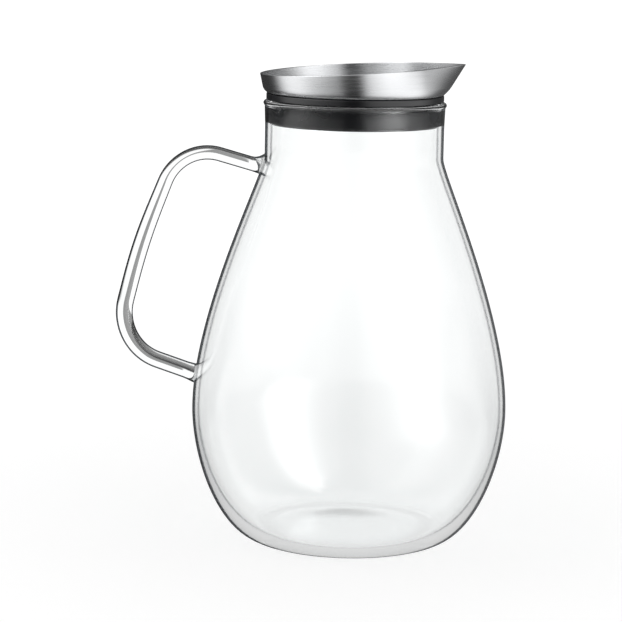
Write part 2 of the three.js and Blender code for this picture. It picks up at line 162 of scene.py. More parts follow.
def add_post(mesh, radius, bottom, top, x, y, sides=SMALL_SIDES):
    """Adds an upright round bar, as a tool for a hole or a part to join."""
    place = Matrix.Translation(Vector((x, y, (bottom + top) / 2)) * MM)
    bmesh.ops.create_cone(mesh, cap_ends=True, segments=sides, radius1=radius * MM, radius2=radius * MM,
                          depth=(top - bottom) * MM, matrix=place)


def add_cross_bar(mesh, radius, length, x, y, z, sides=SMALL_SIDES):
    """Adds a round bar that lies across the pitcher, along Y."""
    place = Matrix.Translation(Vector((x, y, z)) * MM) @ Matrix.Rotation(math.pi / 2, 4, "X")
    bmesh.ops.create_cone(mesh, cap_ends=True, segments=sides, radius1=radius * MM, radius2=radius * MM,
                          depth=length * MM, matrix=place)


def add_block(mesh, low, high):
    """Adds a box between two corners."""
    low, high = Vector(low) * MM, Vector(high) * MM
    place = Matrix.Translation((low + high) / 2) @ Matrix.Diagonal((*(high - low), 1))
    return bmesh.ops.create_cube(mesh, size=1, matrix=place)["verts"]


def drill(mesh, places, radius, bottom, top, sides=SMALL_SIDES):
    """Drills an upright hole at each place in plan."""
    tool = bmesh.new()
    for x, y in places:
        add_post(tool, radius, bottom, top, x, y, sides)
    return combine(mesh, tool, "DIFFERENCE")


print("a screw passes its hole with", GAP, "mm all round")

# %% [markdown]
# ## Materials
#
# Colours are written as the hex values that a screen shows, and the shader wants linear light, so one
# function turns them. Another adds a node, with its settings and the links into it. Everything else about a
# material is written where the material is made. Patterns are counted per millimetre of the real thing and
# read Object coordinates, so they keep their size and place when a piece moves.

# %% Colour and node helpers
def linear(hex_colour):
    """The linear colour of an sRGB hex value such as '8a8c8e'."""
    parts = [int(hex_colour[k:k + 2], 16) / 255 for k in (0, 2, 4)]
    return [part / 12.92 if part <= 0.04045 else ((part + 0.055) / 1.055) ** 2.4 for part in parts] + [1]


def add_node(tree, kind, settings=None, **inputs):
    """Adds a node. Settings are its own options, and an input is a value or the output that feeds it."""
    node = tree.nodes.new("ShaderNode" + kind)
    for name, value in (settings or {}).items():
        setattr(node, name, value)
    for name, value in inputs.items():
        socket = node.inputs[int(name[1:])] if name[1:].isdigit() else node.inputs[name.replace("_", " ")]
        if isinstance(value, bpy.types.NodeSocket):
            tree.links.new(value, socket)
        else:
            socket.default_value = value
    return node


def new_material(name):
    """An empty material with its tree, ready for a shader."""
    material = bpy.data.materials.new(name)
    material.use_nodes = True
    material.node_tree.nodes.clear()
    return material, material.node_tree


print("mid grey on a screen, 808080, is", round(linear("808080")[0], 3), "in linear light")

# %% [markdown]
# ### Fire-polished borosilicate glass
#
# The jug is blown and its handle is a drawn rod. Flames polish both, so the surface has no roughness of its
# own, only the faint swell that blowing leaves, one every 3 cm or so, which bends reflections a little.
# Borosilicate glass has an IOR of 1.473, and it is almost colourless.
#
# What the eye sees of clear glass on white is its outline. Near the edge of a round wall the light is bent
# away or thrown back inside, so a dark line stands there, about as wide as a thin wall, whatever the radius
# is. Behind it comes a bright gap, then a second, fainter line from the inner surface. Here both lines are
# painted shade in the glass's own colour. A Layer Weight node gives the slant of the surface to the eye:
# with its cosine c, a point of a cylinder of radius R lies about R times c squared / 2 in from the edge, and
# further where the wall leans over. A colour ramp over that distance paints the dark line into the base
# colour, with its stops in millimetres. The outer skin, the inner skin and the rod each have a ramp. On the
# side of the rod that faces out and up, away from the jug, its painted line is wider, and on the other side
# narrower, so that side of the rod carries more painted shade.
#
# A ray inside a wall of glass can be thrown to and fro between its two faces until its bounces run out. It
# would come back black, where real glass lets that light out in the end, so the glass gives such a ray a
# painted glow, a little emitted light of its own. For every other ray that glow is zero.
#
# Shadow rays go through as if the glass weren't there, because a path tracer can't find a lamp through a
# curved pane otherwise.

# %% Glass
GLASS_IOR, SWELLS_PER_MM = 1.473, 0.03
SHADED_SIDE = (-0.9, 0, 0.43)
INNER_SPREAD, OUTER_SPREAD = 1.1, 0.62
TRAPPED_AFTER, TRAPPED_GLOW = 3.5, 0.4


def make_glass(name, stops, radius=None):
    """Clear glass with a painted dark line along its outline. Stops are (millimetres in from the edge, colour
    of that painted shade), and a rod has a fixed radius.
    """
    material, tree = new_material(name)
    place = add_node(tree, "TexCoord").outputs["Object"]
    normal = add_node(tree, "NewGeometry").outputs["Normal"]
    path = add_node(tree, "LightPath")
    swell = add_node(tree, "TexNoise", Vector=place, Scale=SWELLS_PER_MM / MM, Detail=1)
    relief = add_node(tree, "Bump", Height=swell.outputs["Fac"], Strength=0.03, Distance=2 * MM)

    slant = add_node(tree, "LayerWeight", Blend=0.5)
    cosine = add_node(tree, "Math", {"operation": "SUBTRACT"}, _0=1, _1=slant.outputs["Facing"])
    squared = add_node(tree, "Math", {"operation": "POWER"}, _0=cosine.outputs["Value"], _1=2)
    if radius is None:
        flat = add_node(tree, "VectorMath", {"operation": "MULTIPLY"}, _0=place, _1=(0.5 / MM, 0.5 / MM, 0))
        half_radius = add_node(tree, "VectorMath", {"operation": "LENGTH"},
                               _0=flat.outputs["Vector"]).outputs["Value"]
        sideways = add_node(tree, "VectorMath", {"operation": "MULTIPLY"}, _0=normal, _1=(1, 1, 0))
        upright = add_node(tree, "VectorMath", {"operation": "LENGTH"}, _0=sideways.outputs["Vector"])
        scaling, scale = "DIVIDE", upright.outputs["Value"]
    else:
        half_radius = radius / 2
        # On the rod the painted dark line widens on the side that faces out and up: more painted shade there.
        outer = add_node(tree, "VectorMath", {"operation": "DOT_PRODUCT"}, _0=normal, _1=SHADED_SIDE)
        spread = add_node(tree, "MapRange", Value=outer.outputs["Value"], _1=-1, _2=1, _3=INNER_SPREAD,
                          _4=OUTER_SPREAD)
        scaling, scale = "MULTIPLY", spread.outputs["Result"]
    inwards = add_node(tree, "Math", {"operation": "MULTIPLY"}, _0=squared.outputs["Value"], _1=half_radius)
    inwards = add_node(tree, "Math", {"operation": scaling}, _0=inwards.outputs["Value"], _1=scale)
    share = add_node(tree, "Math", {"operation": "DIVIDE"}, _0=inwards.outputs["Value"], _1=stops[-1][0])
    # The ramp paints shade: a dark line along the glass's outline, put into its base colour.
    tint = add_node(tree, "ValToRGB", Fac=share.outputs["Value"])
    tint.color_ramp.interpolation = "EASE"
    for index, (millimetres, colour) in enumerate(stops):
        stop = tint.color_ramp.elements[index] if index < 2 else tint.color_ramp.elements.new(1)
        stop.position, stop.color = millimetres / stops[-1][0], linear(colour)

    # Painted glow: a ray thrown to and fro inside the glass gets emitted light from the glass itself.
    first_wall = add_node(tree, "Math", {"operation": "COMPARE"}, _0=path.outputs["Transmission Depth"], _1=1,
                          _2=0.5)
    thrown = add_node(tree, "Math", {"operation": "MULTIPLY"}, _0=path.outputs["Glossy Depth"],
                      _1=first_wall.outputs["Value"])
    trapped = add_node(tree, "Math", {"operation": "GREATER_THAN"}, _0=thrown.outputs["Value"],
                       _1=TRAPPED_AFTER)
    painted_glow = add_node(tree, "Math", {"operation": "MULTIPLY"}, _0=trapped.outputs["Value"],
                         _1=TRAPPED_GLOW)
    glass = add_node(tree, "BsdfPrincipled", Base_Color=tint.outputs["Color"], Roughness=0.0, IOR=GLASS_IOR,
                     Transmission_Weight=1.0, Normal=relief.outputs["Normal"], Emission_Color=(1, 1, 1, 1),
                     Emission_Strength=painted_glow.outputs["Value"])
    material.cycles.emission_sampling = "NONE"
    through = add_node(tree, "BsdfTransparent", Color=linear("f2f5f5"))
    shader = add_node(tree, "MixShader", _0=path.outputs["Is Shadow Ray"], _1=glass.outputs["BSDF"],
                      _2=through.outputs["BSDF"])
    add_node(tree, "OutputMaterial", Surface=shader.outputs["Shader"])
    return material


# Each list of stops paints a dark line of shade along an outline: the outer skin, the inner skin and the rod.
blown_glass = make_glass("fire_polished_glass", [(0, "1c1f22"), (1.15, "1c1f22"), (1.75, "fdfefe")])
inner_glass = make_glass("fire_polished_glass_inside", [(0, "4a4e52"), (0.8, "4a4e52"), (1.4, "fdfefe")])
rod_glass = make_glass("drawn_glass_rod", [(0, "0e1113"), (0.5, "0e1113"), (0.72, "fdfefe")], radius=4.3)
print("made", blown_glass.name, inner_glass.name, "and", rod_glass.name)

# %% [markdown]
# ### The milky weld
#
# Where the rod is fused on, fine bubbles, about one every 0.8 mm, are caught between the two skins of
# glass. They scatter the light, so the face of the weld looks white and soft where the glass round it is
# clear. Real bubbles would be costly to trace, so a rougher glass that lets less light through stands for
# them.

# %% Milky weld
BUBBLES_PER_MM = 1.2


def make_weld():
    material, tree = new_material("milky_glass_weld")
    place = add_node(tree, "TexCoord").outputs["Object"]
    bubbles = add_node(tree, "TexNoise", Vector=place, Scale=BUBBLES_PER_MM / MM, Detail=2)
    tint = add_node(tree, "Mix", {"data_type": "RGBA"}, _0=bubbles.outputs["Fac"], _6=linear("e4e8e8"),
                    _7=linear("fbfcfc"))
    relief = add_node(tree, "Bump", Height=bubbles.outputs["Fac"], Strength=0.2, Distance=0.2 * MM)
    weld = add_node(tree, "BsdfPrincipled", Base_Color=tint.outputs[2], Roughness=0.4, IOR=GLASS_IOR,
                    Transmission_Weight=0.6, Normal=relief.outputs["Normal"])
    add_node(tree, "OutputMaterial", Surface=weld.outputs["BSDF"])
    return material


weld_glass = make_weld()
print("made", weld_glass.name)

# %% [markdown]
# ### Brushed stainless steel
#
# The dish is spun from sheet and then brushed while it turns, so that fine scratches run round it. Across
# the scratches the surface is rough and along them it is smooth, which draws every reflection out into an
# upright band. The shader does this with its anisotropy, about a tangent that runs round Z. The real
# scratches are about 0.1 mm apart, too fine to show, so the ones drawn here are about 0.6 mm apart and very
# faint. The small steel pieces are bright as they are stamped or turned, so they are smoother and aren't
# stretched.

# %% Steel
SCRATCHES_PER_MM, BREAKS_PER_RADIAN, ROUGHNESS_SWING = 1.7, 2.2, 0.05


def make_steel(name, colours, roughness, stretch, scratch_depth):
    material, tree = new_material(name)
    place = add_node(tree, "TexCoord").outputs["Object"]
    parts = add_node(tree, "SeparateXYZ", Vector=place)
    flat = add_node(tree, "CombineXYZ", X=parts.outputs["X"], Y=parts.outputs["Y"])
    reach = add_node(tree, "VectorMath", {"operation": "LENGTH"}, _0=flat.outputs["Vector"])
    around = add_node(tree, "VectorMath", {"operation": "NORMALIZE"}, _0=flat.outputs["Vector"])
    across = add_node(tree, "Math", {"operation": "ADD"}, _0=reach.outputs["Value"], _1=parts.outputs["Z"])
    line = add_node(tree, "Math", {"operation": "MULTIPLY"}, _0=across.outputs["Value"],
                    _1=SCRATCHES_PER_MM / MM)
    spread = add_node(tree, "VectorMath", {"operation": "SCALE"}, _0=around.outputs["Vector"],
                      Scale=BREAKS_PER_RADIAN)
    turned = add_node(tree, "SeparateXYZ", Vector=spread.outputs["Vector"])
    grain_place = add_node(tree, "CombineXYZ", X=turned.outputs["X"], Y=turned.outputs["Y"],
                           Z=line.outputs["Value"])
    grain = add_node(tree, "TexNoise", Vector=grain_place.outputs["Vector"], Scale=1, Detail=3)
    shade = add_node(tree, "MapRange", Value=grain.outputs["Fac"], _1=0.3, _2=0.7,
                     _3=roughness - ROUGHNESS_SWING, _4=roughness + ROUGHNESS_SWING)
    tint = add_node(tree, "Mix", {"data_type": "RGBA"}, _0=grain.outputs["Fac"], _6=linear(colours[0]),
                    _7=linear(colours[1]))
    relief = add_node(tree, "Bump", Height=grain.outputs["Fac"], Strength=scratch_depth, Distance=0.1 * MM)
    tangent = add_node(tree, "Tangent", {"direction_type": "RADIAL", "axis": "Z"})
    steel = add_node(tree, "BsdfPrincipled", Base_Color=tint.outputs[2], Metallic=1.0,
                     Roughness=shade.outputs["Result"], Anisotropic=stretch, Anisotropic_Rotation=0.25,
                     Tangent=tangent.outputs["Tangent"], Normal=relief.outputs["Normal"])
    add_node(tree, "OutputMaterial", Surface=steel.outputs["BSDF"])
    return material


brushed_steel = make_steel("brushed_stainless_steel", ("cacbcd", "d3d4d5"), 0.28, 0.8, 0.04)
bright_steel = make_steel("bright_stainless_steel", ("cfd0d2", "dadbdc"), 0.18, 0.0, 0.02)
print("made", brushed_steel.name, "and", bright_steel.name)

# %% [markdown]
# ### Black silicone and black plastic
#
# The seals are moulded from food-grade silicone. Pressed against glass it looks smoother and glossier than
# it feels, with a clear upright highlight, so its roughness is low, its grain is shallow and its gloss is
# above the usual 0.5. The plug and the flap's frame are moulded polypropylene, a little rougher, with the
# fine grain of a sparked mould, 0.6 mm across. A slow cloud in the roughness keeps both from looking like
# paint.

# %% Silicone and plastic
CLOUDS_PER_MM = 0.06


def make_moulded(name, colours, roughness, gloss, grain_mm, depth):
    material, tree = new_material(name)
    place = add_node(tree, "TexCoord").outputs["Object"]
    grain = add_node(tree, "TexNoise", Vector=place, Scale=1 / (grain_mm * MM), Detail=2)
    cloud = add_node(tree, "TexNoise", Vector=place, Scale=CLOUDS_PER_MM / MM, Detail=2)
    tint = add_node(tree, "Mix", {"data_type": "RGBA"}, _0=cloud.outputs["Fac"], _6=linear(colours[0]),
                    _7=linear(colours[1]))
    shade = add_node(tree, "MapRange", Value=cloud.outputs["Fac"], _1=0.3, _2=0.7,
                     _3=roughness - ROUGHNESS_SWING, _4=roughness + ROUGHNESS_SWING)
    relief = add_node(tree, "Bump", Height=grain.outputs["Fac"], Strength=depth, Distance=0.2 * MM)
    body = add_node(tree, "BsdfPrincipled", Base_Color=tint.outputs[2], Roughness=shade.outputs["Result"],
                    IOR=1.45, Specular_IOR_Level=gloss, Normal=relief.outputs["Normal"])
    add_node(tree, "OutputMaterial", Surface=body.outputs["BSDF"])
    return material


silicone = make_moulded("black_silicone", ("151618", "1e1f22"), 0.25, 0.72, 0.8, 0.04)
plastic = make_moulded("black_polypropylene", ("1a1b1c", "232425"), 0.35, 0.5, 0.6, 0.15)
print("made", silicone.name, "and", plastic.name)

# %% [markdown]
# ## Handing a piece over
#
# Each piece rides on one of the CAD model's bodies, so that it moves with the joints. It stands for its CAD
# node and takes that node's material slot. Faces are shaded smooth, and edges sharper than 35 degrees stay
# crisp, or sharper than the angle that a piece gives for itself.

# %% Finish a piece
FINISH = {"glass": blown_glass, "brushed_steel": brushed_steel, "bright_steel": bright_steel,
          "silicone": silicone, "lid_plastic": plastic}


def hand_over(mesh, node, body, slot, sharp=35):
    """Makes the bmesh an object that stands for a CAD node."""
    piece = as_object(mesh, node + "_piece")
    piece.data.shade_smooth()
    piece.data.set_sharp_from_angle(angle=math.radians(sharp))
    piece.data.materials.append(FINISH[slot])
    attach(piece, body)
    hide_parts(node)
    print(piece.name, len(piece.data.polygons), "faces")
    return piece


# %% [markdown]
# ## The jug
#
# A gather of glass is blown in a mould that gives the pear shape, then cut at the neck, and the cut is
# melted round in a flame. Its side is two long curves that meet at the belly. A polygon could follow them
# by eye, but Bezier curves draw them evenly, with the same handles as in the CAD model, first for the
# outside and then for the inside, one wall further in. Blown glass has no sharp bend, so the one where the
# side runs into the neck is eased by less than 0.3 mm. The underside is pushed up by a millimetre, so that
# the jug stands on a ring and doesn't rock.

# %% The side curves of the glass
LOWER_STEPS, UPPER_STEPS = 28, 40
BASE_PULL, BELLY_PULL_DOWN, BELLY_PULL_UP, NECK_PULL = 18.5, 28, 48, 7.5
EASED_FROM, EASED_TO, EASING_PASSES = 184, 201, 3


def curve(start, pull_start, pull_end, end, steps):
    """Points of a Bezier curve between two places (radius, height), both ends included."""
    knots = [Vector((radius, height, 0)) for radius, height in (start, pull_start, pull_end, end)]
    return [(point.x, point.y) for point in interpolate_bezier(*knots, steps + 1)]


def glass_side(skin, floor):
    """The side from the base to the neck, a skin's thickness inside the outer surface."""
    base, belly, neck = BASE_RADIUS - skin, BELLY_RADIUS - skin, NECK_RADIUS - skin
    lower = curve((base, floor), (base + BASE_PULL, floor), (belly, BELLY_HEIGHT - BELLY_PULL_DOWN),
                  (belly, BELLY_HEIGHT), LOWER_STEPS)
    upper = curve((belly, BELLY_HEIGHT), (belly, BELLY_HEIGHT + BELLY_PULL_UP),
                  (neck, NECK_BOTTOM - NECK_PULL), (neck, NECK_BOTTOM), UPPER_STEPS)
    return lower + upper[1:]


def eased(points):
    """Eases the bend below the neck: each point there moves towards the middle of its neighbours."""
    for _ in range(EASING_PASSES):
        before, points = points, list(points)
        for k in range(1, len(before) - 1):
            if EASED_FROM < before[k][1] < EASED_TO:
                points[k] = tuple((before[k - 1][axis] + 2 * before[k][axis] + before[k + 1][axis]) / 4
                                  for axis in (0, 1))
    return points


def jug_radius(height):
    """The outer radius of the glass at a height, before the bend below the neck is eased."""
    side = glass_side(0, 0)
    for (r0, z0), (r1, z1) in zip(side, side[1:]):
        if z0 <= height <= z1:
            return r0 + (r1 - r0) * (height - z0) / (z1 - z0)
    return NECK_RADIUS


print("outside radius halfway up", round(jug_radius(GLASS_HEIGHT / 2), 2), "mm")

# %% Turn the jug
def arc(radius, height, bend, start, end, steps):
    """Points of an arc about (radius, height), with angles in degrees from outwards to upwards."""
    turns = [math.radians(start + (end - start) * step / steps) for step in range(steps + 1)]
    return [(radius + bend * math.cos(turn), height + bend * math.sin(turn)) for turn in turns]


PUSH_UP, FLOOR_RISE, FLOOR_STEPS = 1.0, 0.6, 8
INNER_PULL, OUTER_PULL, RING_RADIUS = 16, 28, 38
LIP_FROM, LIP_TO, LIP_STEPS = -60, 150, 14
NECK_STEPS = (0.7, 1.6, 2.8, 4.4, 6.4, 9)
INNER_FLOOR_BELOW = 10

underside = curve((0, PUSH_UP), (INNER_PULL, PUSH_UP), (OUTER_PULL, 0), (RING_RADIUS, 0), FLOOR_STEPS)
inner_floor = curve((RING_RADIUS, BASE_THICKNESS), (OUTER_PULL, BASE_THICKNESS),
                    (INNER_PULL, BASE_THICKNESS + FLOOR_RISE), (0, BASE_THICKNESS + FLOOR_RISE), FLOOR_STEPS)
lip_bend = GLASS_WALL / 2
lip = arc(LIP_RADIUS - lip_bend, GLASS_HEIGHT - lip_bend, lip_bend, LIP_FROM, LIP_TO, LIP_STEPS)
neck_heights = [NECK_BOTTOM + step for step in NECK_STEPS]
outside = eased(glass_side(0, 0) + [(NECK_RADIUS, height) for height in neck_heights])
inside = eased(glass_side(GLASS_WALL, BASE_THICKNESS)
               + [(NECK_RADIUS - GLASS_WALL, height) for height in neck_heights])
outside += [(NECK_RADIUS, LIP_BOTTOM)]
inside = [(NECK_RADIUS - GLASS_WALL, LIP_BOTTOM)] + inside[::-1]
jug_mesh = turn_section(underside + outside + lip + inside + inner_floor, closed=False)
glass_body = hand_over(jug_mesh, "glass_body", "jug", "glass", sharp=60)
glass_body.data.materials.append(inner_glass)
for face in glass_body.data.polygons:
    leans_in = face.normal.x * face.center.x + face.normal.y * face.center.y < 0
    on_floor = face.normal.z > 0.5 and face.center.z < INNER_FLOOR_BELOW * MM
    face.material_index = int(leans_in or on_floor)
print("faces inside", sum(face.material_index for face in glass_body.data.polygons))

# %% [markdown]
# ## The handle
#
# A glass rod is softened, bent twice round a former and welded to the jug at the neck and at the belly. The
# grip is bowed outwards a little and the rod is thinner in its upper arm. Where it meets the jug the soft
# glass spreads into a foot, and the upper foot is pushed up by a millimetre or two.
#
# A curve with a round bevel could draw the rod, but it would end in flat discs. So the rod is drawn ring by
# ring along its line, each ring is bridged to the one before, and the rings at both ends are slid along the
# rod until they lie on the side of the jug, a hair outside it. Two smaller rings close each end.

# %% The handle's line
UPPER_JOINT_HEIGHT, LOWER_JOINT_HEIGHT = 187.5, 82.05
UPPER_REACH, LOWER_REACH = (-40.99, 11.29), (-41.6, 13.97)
UPPER_BEND, LOWER_BEND, BOW = 21.6, 23.95, 2.34
BEND_STEPS, UPPER_ARM_STEPS, GRIP_STEPS, LOWER_ARM_STEPS = 22, 16, 24, 20
upper_joint = Vector((-jug_radius(UPPER_JOINT_HEIGHT), UPPER_JOINT_HEIGHT))
lower_joint = Vector((-jug_radius(LOWER_JOINT_HEIGHT), LOWER_JOINT_HEIGHT))
upper_corner = upper_joint + Vector(UPPER_REACH)
lower_corner = lower_joint + Vector(LOWER_REACH)


def bend_points(before, corner, after, radius):
    """Points of the arc that rounds a corner of the rod."""
    back, on = (before - corner).normalized(), (after - corner).normalized()
    half = back.angle(on) / 2
    centre = corner + (back + on).normalized() * radius / math.sin(half)
    first = corner + back * radius / math.tan(half) - centre
    last = corner + on * radius / math.tan(half) - centre
    sweep = first.angle_signed(last)
    return [centre + Matrix.Rotation(-sweep * step / BEND_STEPS, 2) @ first for step in range(BEND_STEPS + 1)]


def spaced(start, end, steps):
    """Even points between two places, without the places themselves."""
    return [start.lerp(end, step / steps) for step in range(1, steps)]


def bowed(points):
    """Pushes the grip outwards, most in its middle and not at all beyond its ends."""
    grip = lower_corner - upper_corner
    outwards = Vector((grip.y, -grip.x)).normalized()
    shares = [min(1, max(0, (point - upper_corner).dot(grip) / grip.length_squared)) for point in points]
    return [point + outwards * BOW * math.sin(math.pi * share) ** 2 for point, share in zip(points, shares)]


upper_bend = bend_points(upper_joint, upper_corner, lower_corner, UPPER_BEND)
lower_bend = bend_points(upper_corner, lower_corner, lower_joint, LOWER_BEND)
rod_line = bowed([upper_joint] + spaced(upper_joint, upper_bend[0], UPPER_ARM_STEPS) + upper_bend
                 + spaced(upper_bend[-1], lower_bend[0], GRIP_STEPS) + lower_bend
                 + spaced(lower_bend[-1], lower_joint, LOWER_ARM_STEPS) + [lower_joint])
rod_length = sum((b - a).length for a, b in zip(rod_line, rod_line[1:]))
print("the rod is", round(rod_length), "mm long, in", len(rod_line), "rings")

# %% Draw the rod ring by ring
ROD_SIDES, CAP_SHARES, SLIDE_PASSES, WELD_GAP = 40, (0.3, 0.65), 12, 0.06
ARM_RADIUS, ROD_RADIUS, THICKENS_FROM, THICKENS_TO = 3.62, 4.28, 31, 99
UPPER_FOOT, LOWER_FOOT, FOOT_LENGTH, FOOT_RISE = 5.3, 4.9, 6, 1.5


def rod_radius(from_upper, from_lower):
    """The rod's radius, thinner in the upper arm and spread at both feet."""
    share = min(1, max(0, (from_upper - THICKENS_FROM) / (THICKENS_TO - THICKENS_FROM)))
    plain = ARM_RADIUS + (ROD_RADIUS - ARM_RADIUS) * share * share * (3 - 2 * share)
    upper_swell = (UPPER_FOOT - plain) * max(0, 1 - from_upper / FOOT_LENGTH) ** 2
    lower_swell = (LOWER_FOOT - plain) * max(0, 1 - from_lower / FOOT_LENGTH) ** 2
    return plain + upper_swell + lower_swell


def lay_on_jug(verts, along):
    """Slides vertices along the rod until they lie just outside the side curve of the jug."""
    for vert in verts:
        for _ in range(SLIDE_PASSES):
            radius = (jug_radius(vert.co.z / MM) + WELD_GAP) * MM
            surface_x = -math.sqrt(radius ** 2 - vert.co.y ** 2)
            vert.co += along * (surface_x - vert.co.x) / along.x


def draw_rod(line):
    """A new bmesh with the rod drawn along a line of points, closed at both feet."""
    mesh = bmesh.new()
    travelled = [0]
    for before, after in zip(line, line[1:]):
        travelled.append(travelled[-1] + (after - before).length)
    stations = [(0, share) for share in CAP_SHARES] + [(k, 1) for k in range(len(line))]
    stations += [(len(line) - 1, share) for share in reversed(CAP_SHARES)]
    rings = []
    for index, share in stations:
        step = (line[min(index + 1, len(line) - 1)] - line[max(index - 1, 0)]).normalized()
        along = Vector((step.x, 0, step.y))
        across = Vector((0, 1, 0))
        turn = Matrix((along.cross(across), across, along)).transposed().to_4x4()
        rise = FOOT_RISE * max(0, 1 - travelled[index] / FOOT_LENGTH) ** 2
        place = Matrix.Translation(Vector((line[index].x, 0, line[index].y + rise)) * MM) @ turn
        radius = rod_radius(travelled[index], travelled[-1] - travelled[index]) * share * MM
        capped = len(rings) in (0, len(stations) - 1)
        verts = bmesh.ops.create_circle(mesh, cap_ends=capped, radius=radius, segments=ROD_SIDES,
                                        matrix=place)["verts"]
        if index in (0, len(line) - 1):
            lay_on_jug(verts, along)
        rings.append(verts)
    for ring, following in zip(rings, rings[1:]):
        edges = {edge for verts in (ring, following) for vert in verts for edge in vert.link_edges
                 if edge.other_vert(vert) in verts}
        bmesh.ops.bridge_loops(mesh, edges=list(edges))
    bmesh.ops.recalc_face_normals(mesh, faces=mesh.faces[:])
    return mesh


glass_handle = hand_over(draw_rod(rod_line), "glass_handle", "jug", "glass", sharp=60)
glass_handle.data.materials[0] = rod_glass
glass_handle.data.materials.append(weld_glass)
for face in glass_handle.data.polygons:
    inside_foot = all(math.hypot(*glass_handle.data.vertices[k].co.xy)
                      < (jug_radius(glass_handle.data.vertices[k].co.z / MM) + 2 * WELD_GAP) * MM
                      for k in face.vertices)
    face.material_index = int(inside_foot)
print("faces on the welds", sum(face.material_index for face in glass_handle.data.polygons))

# %% [markdown]
# ## The neck seal
#
# A sleeve of soft silicone stands in the neck, and its flange rests on the lip of the glass. The lower end
# is well rounded so that it finds its way in, and a shallow waist below the flange gives the lip some room.
# A small toe at the bottom holds the plug.
#
# The real sleeve is pressed against the glass, with no air between, and the black then fills the glass out
# to its edge. With a gap, however thin, light that meets the inside of the glass at a slant would be thrown
# back before it reached the silicone. So the sleeve widens upwards with the neck and reaches 0.05 mm into
# it.

# %% Turn the seal
SLEEVE_BOTTOM, SLEEVE_TOP, SEAL_FLANGE, SEAL_INNER, SEAL_WAIST = 42.2, 43.06, 44.1, 39.3, 41.2
SLEEVE_END, WAIST_START = FLANGE_BOTTOM - 2.7, FLANGE_BOTTOM - 2.2
TOE_RADIUS, TOE_TOP = SEAL_INNER - 1, SEAL_BOTTOM + 0.8
hand_over(turn_section([
    (TOE_RADIUS, SEAL_BOTTOM, 0.15), (SLEEVE_BOTTOM, SEAL_BOTTOM, 1.6),
    (SLEEVE_TOP, SLEEVE_END, 0.2), (SEAL_WAIST, WAIST_START, 0.2),
    (SEAL_WAIST, FLANGE_BOTTOM, 0.2), (SEAL_FLANGE, FLANGE_BOTTOM, 0.7),
    (SEAL_FLANGE, FLOOR_BOTTOM, 0.4), (SEAL_INNER, FLOOR_BOTTOM, 0.3),
    (SEAL_INNER, TOE_TOP, 0.1), (TOE_RADIUS, TOE_TOP, 0.15),
]), "neck_seal", "seal", "silicone")

# %% [markdown]
# ## The plug
#
# The plug is a moulded ring inside the seal. It carries the lid, holds the strainer in a groove above its
# lower lip, and has four counterbored holes for the screws from below. A mould makes all of it in one go.
# Here the ring is turned and the holes are drilled, a little past each face that they open, so that no skin
# is left.

# %% Turn and drill the plug
PLUG_BOTTOM, SKIRT_SEAT, PLUG_BORE = 210.6, 222.0, 30.5
GROOVE_BOTTOM, GROOVE_TOP, GROOVE_DEPTH, LIP_CHAMFER = PLUG_BOTTOM + 0.5, 212.3, 1.2, 0.4
COUNTERBORE_TOP, BOSS_SEAT, CUT_PAST = 212.8, 220.6, 1
screw_places = [(SCREW_CIRCLE * math.cos(turn), SCREW_CIRCLE * math.sin(turn))
                for turn in (math.radians(45 + 90 * k) for k in range(4))]
plug_mesh = turn_section([
    (PLUG_BORE + LIP_CHAMFER, PLUG_BOTTOM, 0.15), (PLUG_RADIUS - 0.8, PLUG_BOTTOM, 0.3),
    (PLUG_RADIUS, PLUG_BOTTOM + 0.8, 0.3), (PLUG_RADIUS, FLOOR_BOTTOM, 0.2),
    (SKIRT_RADIUS + GAP, FLOOR_BOTTOM, 0.1), (SKIRT_RADIUS + GAP, SKIRT_SEAT), (PLUG_BORE, SKIRT_SEAT, 0.1),
    (PLUG_BORE, GROOVE_TOP, 0.1), (PLUG_BORE + GROOVE_DEPTH, GROOVE_TOP),
    (PLUG_BORE + GROOVE_DEPTH, GROOVE_BOTTOM), (PLUG_BORE + LIP_CHAMFER, GROOVE_BOTTOM, 0.15),
])
plug_mesh = drill(plug_mesh, screw_places, SHANK_RADIUS + GAP, PLUG_BOTTOM - CUT_PAST,
                  FLOOR_BOTTOM + CUT_PAST)
plug_mesh = drill(plug_mesh, screw_places, HEAD_RADIUS + GAP, PLUG_BOTTOM - CUT_PAST, COUNTERBORE_TOP)
plug_mesh = drill(plug_mesh, screw_places, BOSS_RADIUS + GAP, BOSS_SEAT, FLOOR_BOTTOM + CUT_PAST)
hand_over(plug_mesh, "plug_body", "lid", "lid_plastic")

# %% [markdown]
# ## The strainer
#
# A thin steel disc is punched on a triangular grid, the pattern that leaves the most open area for its
# strength. It keeps solid things back as the jug is poured. An image could fake the holes from afar, but
# real ones also hold when the flap is open and the eye looks through.

# %% Punch the strainer
STRAINER_RADIUS, STRAINER_BOTTOM, STRAINER_TOP, PUNCH_PAST = 31.4, 211.4, 212.0, 0.4
HOLE_PITCH, HOLE_RADIUS, HOLE_REACH, HOLE_SIDES, HOLE_ROWS = 7.2, 1.9, 26.7, 24, 4
hole_steps = range(-HOLE_ROWS, HOLE_ROWS + 1)
row_pitch = HOLE_PITCH * math.sin(math.pi / 3)
hole_places = [(step * HOLE_PITCH + (HOLE_PITCH / 2 if row % 2 else 0), row * row_pitch)
               for row in hole_steps for step in hole_steps]
hole_places = [place for place in hole_places if math.hypot(*place) <= HOLE_REACH]
strainer_mesh = turn_section([(0, STRAINER_BOTTOM), (STRAINER_RADIUS, STRAINER_BOTTOM, 0.2),
                              (STRAINER_RADIUS, STRAINER_TOP, 0.2), (0, STRAINER_TOP)], closed=False)
strainer_mesh = drill(strainer_mesh, hole_places, HOLE_RADIUS, STRAINER_BOTTOM - PUNCH_PAST,
                      STRAINER_TOP + PUNCH_PAST, sides=HOLE_SIDES)
hand_over(strainer_mesh, "strainer", "lid", "bright_steel")
print("holes in the strainer", len(hole_places))

